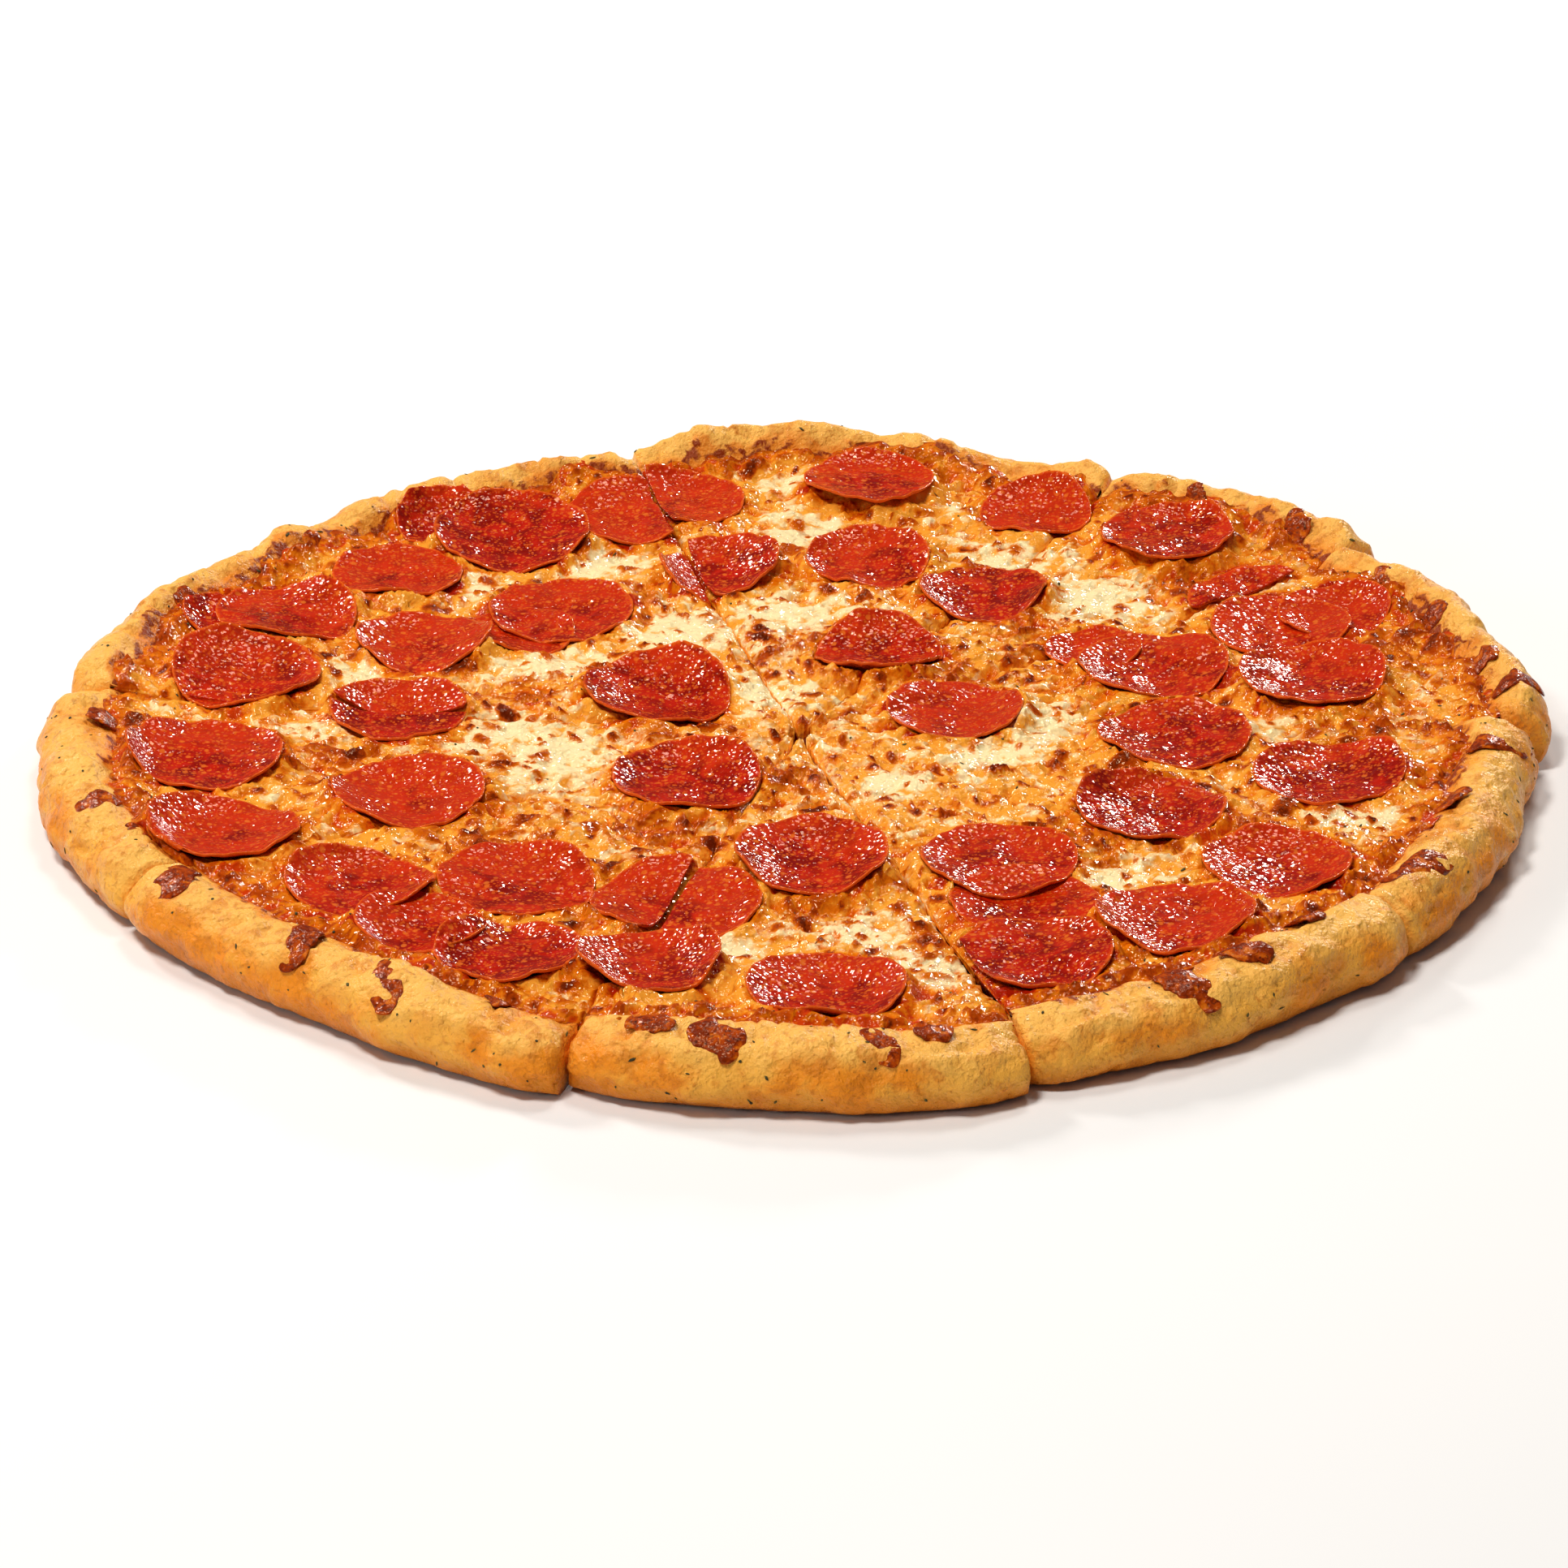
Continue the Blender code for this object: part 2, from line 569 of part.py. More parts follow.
def main():
    clear_scene()
    parent = bpy.data.objects.new("pizza", None)
    bpy.context.collection.objects.link(parent)
    dough = material("baked_dough", DOUGH_COLOUR, 0.55)
    cheese = material("melted_cheese", CHEESE_COLOUR, 0.35)
    meat = material("pepperoni", PEPPERONI_COLOUR, 0.30)
    slices, supports = build_slices(parent, dough, cheese)
    build_pepperoni(slices, supports, meat, parent)


main()
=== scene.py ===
from itertools import product
from math import cos, pi, radians, sin

import bmesh
import bpy
import numpy as np
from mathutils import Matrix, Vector
from mathutils.bvhtree import BVHTree


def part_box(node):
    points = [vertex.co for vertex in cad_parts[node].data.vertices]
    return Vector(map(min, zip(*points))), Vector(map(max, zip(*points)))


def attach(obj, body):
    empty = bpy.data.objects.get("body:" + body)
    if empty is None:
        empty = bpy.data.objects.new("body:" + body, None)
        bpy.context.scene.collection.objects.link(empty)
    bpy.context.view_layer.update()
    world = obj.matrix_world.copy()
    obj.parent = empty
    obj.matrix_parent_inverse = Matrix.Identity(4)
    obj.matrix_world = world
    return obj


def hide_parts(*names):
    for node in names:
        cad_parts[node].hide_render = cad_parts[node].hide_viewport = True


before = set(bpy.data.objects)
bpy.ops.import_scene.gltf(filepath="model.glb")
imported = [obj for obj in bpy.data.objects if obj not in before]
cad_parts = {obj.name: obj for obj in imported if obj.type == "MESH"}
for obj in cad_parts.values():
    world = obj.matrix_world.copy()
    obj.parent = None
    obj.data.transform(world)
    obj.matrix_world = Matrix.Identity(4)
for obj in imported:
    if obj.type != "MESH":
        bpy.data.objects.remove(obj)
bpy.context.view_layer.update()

# The visual model of a round pepperoni pizza that is cut into slices. Lengths are in millimetres up to
# the point where a mesh is made, +Z is up and -Y is the side that the camera sees in front.

MM = 0.001

# The same driving sizes and layout as the CAD model's
BASE_THICKNESS = 4.6
CHEESE_THICKNESS = 4.6
CHEESE_EDGE_THICKNESS = 1.0
CUT_GAP = 1.2
TIP_RADIUS = 1.6
LAYER_GAP = 0.4
PEPPERONI_THICKNESS = 1.8
PEPPERONI_RIPPLE = 0.5
RIM_UNDERSIDE = 8.5
RIM_SIDE = ((2.8, 0.09), (0.0, 0.40), (1.2, 0.68), (4.5, 0.91))
SWELL_START = 75.0
SWELL_END = 28.0
SWELL_HEIGHT = 1.8
CHEESE_EDGE_WAVE = 1.6
CHEESE_EDGE_SPREAD = 11.0
CHEESE_LONG_RELIEF = 0.6
CHEESE_SHORT_RELIEF = 0.4
CUT_MIDDLE = (1.5, 3.0)
END_LENGTH = 9.0
END_DROP = 0.09
END_DRAW = 1.6

# Each slice: name, first and last cut in degrees, radii and heights of its rim from the first cut to
# the last, and how far inward the rim has its crest, the cheese's edge and its inner foot
SLICES = (
    ("right", -0.8, 35.9, (182, 182, 181.5, 181), (18, 19.5, 19.5, 19), (8.5, 14.0, 24.0)),
    ("right_back", 35.9, 60.9, (187, 185, 183, 181, 179.5), (20, 20, 20, 19.5, 19), (8.0, 13.0, 22.0)),
    ("back", 60.9, 104.7, (181, 182, 184, 184, 184, 183), (21, 15, 20, 20.5, 21, 19), (7.5, 12.5, 22.0)),
    (
        "left_back", 104.7, 174.0, (176, 177, 178, 177, 178.5, 179.5, 178), (20, 18, 18, 17),
        (8.5, 13.5, 23.0),
    ),
    ("left", 174.0, 210.3, (181, 180, 178, 177), (16, 17.5, 17, 15.5), (11.0, 17.0, 27.0)),
    ("left_front", 210.3, 253.3, (176, 175.5, 174, 177, 182), (15.5, 16.5, 16.5, 15), (12.0, 17.5, 28.0)),
    ("front", 253.3, 286.0, (177.5, 180, 182, 181), (15, 16.5, 16.5, 15), (12.5, 16.5, 28.0)),
    ("right_front", 286.0, 321.7, (176.5, 176.5, 176, 175), (15.5, 16.5, 17, 16), (12.0, 17.0, 28.0)),
    ("right_side", 321.7, 359.2, (175, 175, 175.5, 176.5), (16, 17.5, 18, 17), (11.0, 17.0, 27.0)),
)

# Each pepperoni, numbered in this order: slice, middle, diameter, curl, direction of its fold, how much
# of the curl is that fold, the slope it leans at, the direction that rises, and whether it was cut
WHOLE = False
CUT = True
PEPPERONI = (
    ("back", (-30, 144), 35, 1.5, 100, 0.5, 0, 90, CUT),
    ("back", (20, 152), 34, 1.5, 20, 0.3, -0.12, 90, WHOLE),
    ("right_back", (63, 136), 29, 1.0, 100, 0.5, 0.03, 80, WHOLE),
    ("right_back", (96, 116), 34, 1.5, 0, 0.3, -0.07, 80, WHOLE),
    ("left_back", (-72, 119), 40, 3.0, 10, 0.4, 0.09, 80, WHOLE),
    ("left_back", (-100, 95), 33, 2.0, 120, 0.6, -0.02, 130, WHOLE),
    ("back", (-19, 101), 31, 3.5, 0, 0.5, 0.10, 60, CUT),
    ("left_back", (-18, 98), 31, 5.0, 14, 0.9, 0.10, 60, CUT),
    ("back", (19, 106), 31.5, 2.0, 20, 0.3, 0.12, 90, WHOLE),
    ("right_back", (48, 85), 32, 3.0, 0, 0.7, 0, 90, WHOLE),
    ("left_back", (-126, 67), 35, 2.5, 50, 0.6, 0, 140, WHOLE),
    ("left_back", (-58, 74), 36, 2.0, 0, 0.4, 0.03, 90, WHOLE),
    ("left_back", (-91, 54), 33.5, 3.0, 0, 0.8, 0, 90, WHOLE),
    ("left_back", (-133, 30), 36, 4.0, 140, 0.5, 0.12, 100, WHOLE),
    ("right_back", (117, 80), 36, 1.5, 30, 0.3, 0, 90, CUT),
    ("right", (121, 62), 35, 1.5, 0, 0.3, 0.02, 60, CUT),
    ("right", (88, 38), 37, 2.5, 10, 0.5, 0.02, 90, WHOLE),
    ("right", (126, 28), 36, 3.0, 10, 0.5, 0.03, 90, WHOLE),
    ("left_back", (-33, 22), 36, 3.0, 60, 0.5, 0.10, 110, WHOLE),
    ("left_back", (-95, 12), 33, 3.0, 0, 0.5, 0.10, 90, CUT),
    ("left", (-95, 12), 33, 1.5, 0, 0.3, 0, 90, CUT),
    ("left", (-139, -18), 37, 3.5, 0, 0.7, 0.05, 150, WHOLE),
    ("right", (21, 47), 32, 3.5, 90, 0.8, 0, 90, WHOLE),
    ("right", (39, 12), 33, 2.5, 0, 0.4, 0, 90, WHOLE),
    ("right_side", (91, -3), 37, 2.5, 30, 0.5, 0.02, 90, WHOLE),
    ("right_side", (126, -27), 36, 2.5, 10, 0.4, 0.03, 60, WHOLE),
    ("right_side", (83, -45), 35, 3.0, 140, 0.6, 0.05, 140, WHOLE),
    ("left", (-90, -36), 36, 2.5, 10, 0.5, 0.03, 100, WHOLE),
    ("left_front", (-25, -29), 35, 3.0, 50, 0.4, 0.05, 90, WHOLE),
    ("left", (-131, -61), 35, 3.0, 150, 0.6, 0.03, 150, WHOLE),
    ("left_front", (-63, -84), 36, 1.5, 60, 0.3, 0.08, 90, WHOLE),
    ("left_front", (-27, -94), 38, 3.0, 70, 0.6, 0.04, 170, CUT),
    ("front", (-26, -95), 38, 2.5, 0, 0.5, 0.02, 90, CUT),
    ("front", (4, -76), 35, 3.0, 10, 0.4, 0.06, 90, WHOLE),
    ("right_front", (47, -73), 36, 2.5, 20, 0.4, 0.04, 120, WHOLE),
    ("left_front", (-98, -88), 34, 3.0, 150, 0.6, 0.04, 150, WHOLE),
    ("right_side", (110, -78), 34, 2.5, 150, 0.5, 0.03, 130, WHOLE),
    ("right_front", (85, -108), 36, 3.0, 10, 0.7, 0.02, 120, WHOLE),
    ("left_front", (-63, -125), 33, 3.0, 150, 0.5, 0.02, 120, WHOLE),
    ("front", (-32, -132), 32, 4.0, 20, 0.7, 0, 90, WHOLE),
    ("front", (7, -143), 35, 2.5, 0, 0.5, 0.02, 60, WHOLE),
    ("right_front", (52, -127), 37, 3.0, 30, 0.7, 0.04, 120, CUT),
)

# Pepperoni that the cheese mostly covers: the same facts, and how high the disc's middle sheet lies
# above the CAD model's cheese
BURIED = (
    ("left_back", (-42, 134), 35, 1.5, 60, 0.5, 0, 90, CUT, 1.2),
    ("left_back", (-137, 5), 36, 1.5, 0, 0.3, 0.05, 250, CUT, 0.5),
    ("right", (135, 70), 28, 1.0, 0, 0.3, 0.02, 60, CUT, 0.4),
    ("right", (74, 51), 24, 1.5, 0, 0.3, 0.02, 90, WHOLE, 0.3),
    ("left_front", (-83, -110), 30, 2.5, 150, 0.5, 0.05, 150, WHOLE, 0.9),
    ("right_front", (52, -94), 34, 1.5, 20, 0.3, 0.02, 100, WHOLE, 0.4),
    ("left_back", (-141, 66), 21, 1.0, 50, 0.5, 0, 140, WHOLE, 0.3),
    ("left_back", (-89, 127), 26, 1.0, 50, 0.5, 0.05, 110, WHOLE, 0.6),
    ("left_back", (-68, 62), 28, 1.0, 50, 0.5, 0.02, 260, WHOLE, 0.5),
)

# Shreds of cheese that browned on the rim: slice, direction, distance inward, length, width, and how
# far each is turned from lying along the rim
SHREDS = (
    ("left_front", 238.5, 8, 15, 5, 62),
    ("left_front", 229, 8.5, 13, 5, 70),
    ("left_front", 213.8, 8, 11, 7, 20),
    ("left", 198.5, 10, 9, 5.5, 75),
    ("front", 259, 11, 9, 5, 10),
    ("front", 264, 7.5, 11, 6, 25),
    ("front", 275.5, 8, 10, 4.5, 60),
    ("front", 279.5, 12, 7, 4.5, 20),
    ("right_front", 299.5, 8.5, 14, 6.5, 70),
    ("right_front", 306, 11, 10, 4.5, 30),
    ("right_side", 327.5, 9.5, 18, 5.5, 20),
    ("right_side", 352.5, 8, 14, 5, 60),
    ("right", 3.5, 8, 11, 5, 70),
)

# Smaller browned lumps where the cheese ends on the inner side of the rim, in the same terms
LUMPS = (
    ("right", 9, 12.5, 8, 5, 80),
    ("right", 19, 12.5, 6.5, 4, 30),
    ("right", 28.5, 13, 6, 4, 65),
    ("right_back", 41.5, 12, 7, 4, 20),
    ("right_back", 52, 12, 6, 3.5, 50),
    ("left_back", 139, 14, 7, 4, 50),
    ("left_back", 156, 13.5, 8, 4.5, 30),
    ("left", 181, 15.5, 8, 5, 40),
    ("left", 204, 15, 7, 4.5, 20),
    ("left_front", 247, 16, 8, 4, 75),
    ("right_front", 314, 15.5, 8, 4.5, 60),
    ("right_side", 341, 15.5, 9, 5, 35),
)

# Where the cheese stayed pale and smooth, and where it toasted: place and size
MILKY = (
    (-27, 65, 16), (-8, 24, 10), (-57, -11, 15), (-72, 3, 12), (-110, 5, 10), (22, -28, 8),
    (57, 5, 11), (74, 83, 14), (5, 125, 12), (-3, 75, 12), (108, 3, 10), (118, 50, 9),
    (15, -110, 10), (30, -127, 9), (70, -80, 9), (-103, 35, 10), (-81, 90, 9), (-48, 105, 11),
    (-3, 155, 8), (127, -50, 9), (45, -10, 10), (55, 108, 10), (-14, -115, 8), (-60, 45, 13),
)
TOASTED = (
    (-30, -52, 16), (-70, -62, 13), (-45, -100, 11), (8, -102, 12), (60, -125, 12), (68, -60, 12),
    (38, 28, 14), (0, -25, 10), (-66, 24, 10), (-110, -15, 12), (140, 0, 14), (110, -55, 12),
    (29, -120, 8), (60, 65, 10), (5, 55, 10), (-110, -85, 12), (100, 90, 12), (145, 45, 12),
)

# Browned blisters, large and small: distance apart, seed, least and greatest radius, how common
BLISTERS = ((8.0, 58, 2.0, 4.8, 0.50), (4.2, 59, 1.0, 2.1, 0.40))

# Dried herbs: how many flakes fall, and the outline of one: along, across, and 1 where it is raised
FLAKE_TRIES = 850
FLAKE = ((-1, 0, 0), (-0.3, 1, 0), (0.5, 0.8, 1), (1, 0, 1), (0.4, -1, 0), (-0.4, -0.7, 1))

# How baking shapes a pepperoni beyond its plain solid, in millimetres or as shares
DEEPER_CUP = 1.15
LIP = 0.6
SINK = 0.9
TOP_DROP = 0.6
THINNER_EDGE = 0.35

# How high the cheese climbs against the edge of a pepperoni, over what distance, and how far it laps
# up past the disc's underside
CLIMB = 3.6
CLIMB_REACH = 2.7
LAP = 1.1

# How fine the visual meshes are, in millimetres or as counts
COLUMN_STEP = 1.05
CHEESE_ROW_STEP = 0.85
DOUGH_COLUMN_STEP = 1.2
DISC_SIDES = 68
DISC_TOP_RINGS = 20
DISC_UNDER_RINGS = 5
PLAIN_SIDES = 28
SLOPE_STEP = 0.4
SHREDS_RINGS = 22
SHREDS_SIDES = 18

# Where the rounded edge of a pepperoni starts, and its rings: how far out each is, as a share of the
# radius, and its side, from 1 on top to -1 on the underside
EDGE_START = 0.965
EDGE_RINGS = ((0.985, 0.86), (0.997, 0.5), (1.0, 0.0), (0.997, -0.5), (0.985, -0.86))

# Farther than anything on the pizza
FAR = 99.0

# The camera
LENS = 141.83
SENSOR = 36.0
CAMERA_RISE = radians(24.499)
CAMERA_TARGET = Vector((-0.002196, -0.005720, 0.0))
CAMERA_DISTANCE = 1.47654

# The floor's half width and each lamp's place and size in metres, with its power, and the light around
FLOOR_HALF = 6.0
LAMPS = (
    ("back_right", (0.56, 1.36, 0.57), 0.18, 7),
    ("back_left", (-0.85, 0.85, 0.90), 0.22, 8),
    ("back_top", (0.20, 0.55, 1.45), 0.40, 6),
    ("front_top", (-0.40, -0.45, 1.35), 0.30, 13),
    ("front_left", (-1.40, -1.05, 0.75), 0.50, 4.5),
)
LAMP_COLOUR = (1.0, 0.96, 0.91)
WORLD_STRENGTH = 0.08


def smooth(share):
    """An S curve from 0 to 1."""
    share = np.clip(share, 0.0, 1.0)
    return share * share * (3 - 2 * share)


def spline(before, here, there, after, t):
    """The part from here to there of a smooth curve through four values or points."""
    bend = (2 * before - 5 * here + 4 * there - after) * t
    bend = bend + (3 * here - before - 3 * there + after) * t * t
    return here + 0.5 * t * (there - before + bend)


def profile(values, share):
    """A smooth curve through even steps of values, read at a share from 0 to 1."""
    values = np.asarray(values, float)
    place = np.clip(share, 0.0, 1.0) * (len(values) - 1)
    step = np.minimum(place.astype(int), len(values) - 2)
    before = values[np.maximum(step - 1, 0)]
    after = values[np.minimum(step + 2, len(values) - 1)]
    return spline(before, values[step], values[step + 1], after, place - step)


def noise(x, y, z, cell, seed):
    """Smooth random values from about -1 to 1 whose bumps are about one cell wide."""
    rng = np.random.default_rng(seed)
    order = rng.permutation(256)
    gradients = rng.normal(size=(256, 3))
    gradients /= np.linalg.norm(gradients, axis=1, keepdims=True)
    spots = [v / cell + 100.3 for v in np.broadcast_arrays(x, y, z)]
    base = [np.floor(s).astype(int) for s in spots]
    part = [s - b for s, b in zip(spots, base)]
    fade = [p**3 * (p * (p * 6 - 15) + 10) for p in part]
    total = np.zeros(spots[0].shape)
    for corner in product((0, 1), repeat=3):
        key = order[(base[0] + corner[0]) & 255]
        key = order[(key + base[1] + corner[1]) & 255]
        key = order[(key + base[2] + corner[2]) & 255]
        slope = gradients[key]
        weight = np.ones(total.shape)
        rise = np.zeros(total.shape)
        for axis in range(3):
            weight *= fade[axis] if corner[axis] else 1 - fade[axis]
            rise += slope[..., axis] * (part[axis] - corner[axis])
        total += weight * rise
    return total * 1.7


def scatter(x, y, cell, seed):
    """Distance to the nearest of points strewn one to a cell, and that point's own two draws."""
    side = 128
    draws = np.random.default_rng(seed).random((side, side, 4))
    column, row = np.floor(x / cell).astype(int), np.floor(y / cell).astype(int)
    nearest = np.full(np.shape(x), 1e9)
    first, second = np.zeros(np.shape(x)), np.zeros(np.shape(x))
    for step_x, step_y in product((-1, 0, 1), repeat=2):
        pick = draws[(column + step_x) % side, (row + step_y) % side]
        far_x = (column + step_x + pick[..., 0]) * cell - x
        far_y = (row + step_y + pick[..., 1]) * cell - y
        away = np.hypot(far_x, far_y)
        closer = away < nearest
        nearest = np.where(closer, away, nearest)
        first = np.where(closer, pick[..., 2], first)
        second = np.where(closer, pick[..., 3], second)
    return nearest, first, second


def patches(x, y, rows):
    """How strongly a point lies in any of the patches, from 0 to about 1."""
    total = np.zeros(np.shape(x))
    for px, py, size in rows:
        total = np.maximum(total, np.exp(-((x - px) ** 2 + (y - py) ** 2) / (size * size)))
    return total


class Slice:
    """One slice: its two cuts, its rim, and the tops of its dough and of its cheese."""

    def __init__(self, name, first, last, radii, heights, distances):
        self.name = name
        self.first = radians(first)
        self.last = radians(last)
        self.radii = radii
        self.heights = heights
        self.crest, self.edge, self.foot = distances
        self.arc = (self.last - self.first) * radii[0]
        self.middle = (self.last + self.first) / 2
        shift = CUT_GAP / 2 / sin((self.last - self.first) / 2)
        self.push = (CUT_MIDDLE[0] + shift * cos(self.middle), CUT_MIDDLE[1] + shift * sin(self.middle))

    def angle(self, share):
        return self.first + (self.last - self.first) * share

    def place(self, out, angle, z):
        """Points at distances out from the slice's tip, in the given directions and at heights z."""
        x = self.push[0] + out * np.cos(angle)
        y = self.push[1] + out * np.sin(angle)
        return np.stack((x, y, z), axis=-1)

    def near_end(self, share):
        """1 at either cut, down to 0 at END_LENGTH from it."""
        return 1 - smooth(np.minimum(share, 1 - share) * self.arc / END_LENGTH)

    def rim_radius(self, share):
        angle = self.angle(share)
        wave = 0.5 * np.sin(9 * angle + 1.3) + 0.4 * np.sin(17 * angle + 0.4)
        offset = self.push[0] * np.cos(angle) + self.push[1] * np.sin(angle)
        return profile(self.radii, share) - offset + wave - END_DRAW * self.near_end(share)

    def rim_height(self, share):
        angle = self.angle(share)
        wave = 0.4 * np.sin(7 * angle + 0.7) + 0.4 * np.sin(15 * angle + 2.1)
        return (profile(self.heights, share) + wave) * (1 - END_DROP * self.near_end(share))

    def dough_top(self, share, inward):
        swell = smooth((SWELL_START - inward) / (SWELL_START - SWELL_END))
        base = BASE_THICKNESS + SWELL_HEIGHT * swell
        rise = smooth((self.foot - inward) / (self.foot - self.crest))
        return base + (self.rim_height(share) - base) * rise

    def cheese_edge(self, share):
        angle = self.angle(share)
        return self.edge + CHEESE_EDGE_WAVE * np.sin(17 * angle + 0.5) * np.cos(5 * angle)

    def cheese_top(self, share, inward):
        angle = self.angle(share)
        out = self.rim_radius(share) - inward
        x, y = out * np.cos(angle), out * np.sin(angle)
        spread = smooth((inward - self.edge + CHEESE_EDGE_WAVE) / CHEESE_EDGE_SPREAD)
        thickness = CHEESE_EDGE_THICKNESS + (CHEESE_THICKNESS - CHEESE_EDGE_THICKNESS) * spread
        relief = CHEESE_LONG_RELIEF * np.sin(x / 9.0 + 0.8) * np.sin(y / 11.0 + 0.3)
        relief = relief + CHEESE_SHORT_RELIEF * np.sin((x + y) / 6.5)
        return self.dough_top(share, inward) + LAYER_GAP + thickness + relief * spread

    def local(self, x, y):
        """The share across the slice and the distance out of a point."""
        dx, dy = x - self.push[0], y - self.push[1]
        turn = (np.arctan2(dy, dx) - self.middle + pi) % (2 * pi) - pi
        share = 0.5 + turn / (self.last - self.first)
        return np.clip(share, 0.0, 1.0), np.hypot(dx, dy)

    def surface(self, x, y):
        """Height of the cheese, or of the bare rim outside it, under a point."""
        share, out = self.local(x, y)
        inward = np.maximum(self.rim_radius(share) - out, self.crest)
        bare = inward < self.cheese_edge(share)
        return np.where(bare, self.dough_top(share, inward), self.cheese_top(share, inward))

    def reach(self, x, y, direction):
        """How far a ray from a point on the slice runs before it meets one of the two cuts."""
        found = np.full(np.shape(direction), 1000.0)
        for cut, side in ((self.first, 1), (self.last, -1)):
            normal = (-sin(cut) * side, cos(cut) * side)
            depth = (x - self.push[0]) * normal[0] + (y - self.push[1]) * normal[1]
            approach = -(np.cos(direction) * normal[0] + np.sin(direction) * normal[1])
            ahead = depth / np.maximum(approach, 1e-6)
            found = np.where(approach > 1e-6, np.minimum(found, ahead), found)
        return found


class Disc:
    """One pepperoni: a curled sheet over the cheese that carries it."""

    def __init__(
        self, piece, name, middle, diameter, curl, fold_turn, fold, slope, rise_turn, cut, rise=None
    ):
        self.piece = piece
        self.name = name
        self.middle = middle
        self.radius = diameter / 2
        self.curl = curl
        self.fold = fold
        self.fold_line = (cos(radians(fold_turn)), sin(radians(fold_turn)))
        self.slope = slope
        self.rise_line = (cos(radians(rise_turn)), sin(radians(rise_turn)))
        self.cut = cut
        # The buried ones count on from 50, so that no two discs share their random draws
        self.number = int(name[-2:]) + (50 if rise is not None else 0)
        self.draws = np.random.default_rng(900 + self.number).random(6)
        self.rise = rise or 0.0
        self.cup = 1.0
        if rise is None:
            low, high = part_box(name)
            heights = self.points(plain=True)[0][:, 2]
            self.rise = (low.z / MM - heights.min() + high.z / MM - heights.max()) / 2 - SINK
            self.cup = DEEPER_CUP

    def sheet(self, x, y):
        """Height of the middle of its thickness."""
        dx, dy = x - self.middle[0], y - self.middle[1]
        share = np.hypot(dx, dy) / self.radius
        across = (dx * self.fold_line[0] + dy * self.fold_line[1]) / self.radius
        bowl = self.curl * (1 - self.fold) * share**2.4 * self.cup
        trough = self.curl * self.fold * 1.5 * np.abs(across) ** 2.2 * self.cup
        ripple = PEPPERONI_RIPPLE * share**2 * np.sin(3 * np.arctan2(dy, dx) + self.middle[0])
        lean = self.slope * (dx * self.rise_line[0] + dy * self.rise_line[1])
        return self.piece.surface(x, y) + bowl + trough + ripple + lean + self.rise

    def creases(self, x, y):
        """Small folds and crimps of the baked meat, strongest at its edge."""
        dx, dy = x - self.middle[0], y - self.middle[1]
        share = np.hypot(dx, dy) / self.radius
        turn = np.arctan2(dy, dx)
        count = 5 + int(4 * self.draws[0])
        around = noise(2 * np.cos(turn), 2 * np.sin(turn), 5.0 * self.number, 1.4, 34)
        crimp = LIP * share**7 * (0.45 + 0.9 * around)
        crimp = crimp + 0.30 * share**5 * np.sin(count * turn + 6 * self.draws[1])
        crimp = crimp + 0.12 * share**6 * np.sin((count * 2 + 3) * turn + 6 * self.draws[2])
        folds = 0.95 * noise(x, y, 3.0 * self.number, 11.0, 30)
        folds = folds + 0.52 * noise(x, y, 2.0 * self.number, 5.6, 31)
        folds = folds + 0.24 * noise(x, y, self.number, 2.8, 32)
        return crimp + folds * (0.6 + 0.4 * np.clip(share, 0, 1.3))

    def outline(self, sides, plain):
        """The point that the rings of the mesh close on, and its distance to the edge all round."""
        direction = 2 * pi * np.arange(sides) / sides
        x, y = self.middle
        if self.cut:
            share = self.piece.local(x, y)[0]
            turn = self.piece.last - pi / 2 if share > 0.5 else self.piece.first + pi / 2
            near = float(self.piece.reach(x, y, np.array([turn + pi]))[0])
            move = (self.radius - near) / 2
            x, y = x + move * cos(turn), y + move * sin(turn)
        dx, dy = x - self.middle[0], y - self.middle[1]
        along = dx * np.cos(direction) + dy * np.sin(direction)
        across = dx * np.sin(direction) - dy * np.cos(direction)
        distance = np.sqrt(self.radius**2 - across**2) - along
        if not plain:
            wobble = noise(3 * np.cos(direction), 3 * np.sin(direction), self.number * 1.7, 2.2, 33)
            distance = distance * (1 + 0.018 * wobble)
        if self.cut:
            distance = np.minimum(distance, self.piece.reach(x, y, direction))
        return (x, y), direction, distance

    def points(self, plain=False):
        """Points of the closed sheet in rings from its top middle round the edge to its underside,
        and how far out and on which side each ring is."""
        sides = PLAIN_SIDES if plain else DISC_SIDES
        anchor, direction, distance = self.outline(sides, plain)
        top = [(s, 1.0) for s in np.linspace(0, EDGE_START, DISC_TOP_RINGS) ** 0.8]
        under = [(s, -1.0) for s in np.linspace(EDGE_START, 0, DISC_UNDER_RINGS)]
        rings = np.array([*top, *EDGE_RINGS, *under])
        share = rings[:, 0][:, None]
        side = np.broadcast_to(rings[:, 1][:, None], (len(rings), sides))
        x = anchor[0] + share * distance * np.cos(direction)
        y = anchor[1] + share * distance * np.sin(direction)

        def height(px, py):
            return self.sheet(px, py) if plain else self.sheet(px, py) + self.creases(px, py)

        slope_x = (height(x + SLOPE_STEP, y) - height(x - SLOPE_STEP, y)) / (2 * SLOPE_STEP)
        slope_y = (height(x, y + SLOPE_STEP) - height(x, y - SLOPE_STEP)) / (2 * SLOPE_STEP)
        length = np.sqrt(slope_x**2 + slope_y**2 + 1)
        # The baked disc is thinner than the solid it lies in, and thinnest at its edge
        half = PEPPERONI_THICKNESS / 2
        if not plain:
            thin = 1 - THINNER_EDGE * share**4
            half = np.where(side > 0, half - TOP_DROP, half) * thin
        points = np.stack(
            (
                x - slope_x / length * side * half,
                y - slope_y / length * side * half,
                height(x, y) + side * half / length,
            ),
            axis=-1,
        )
        return points.reshape(-1, 3), rings

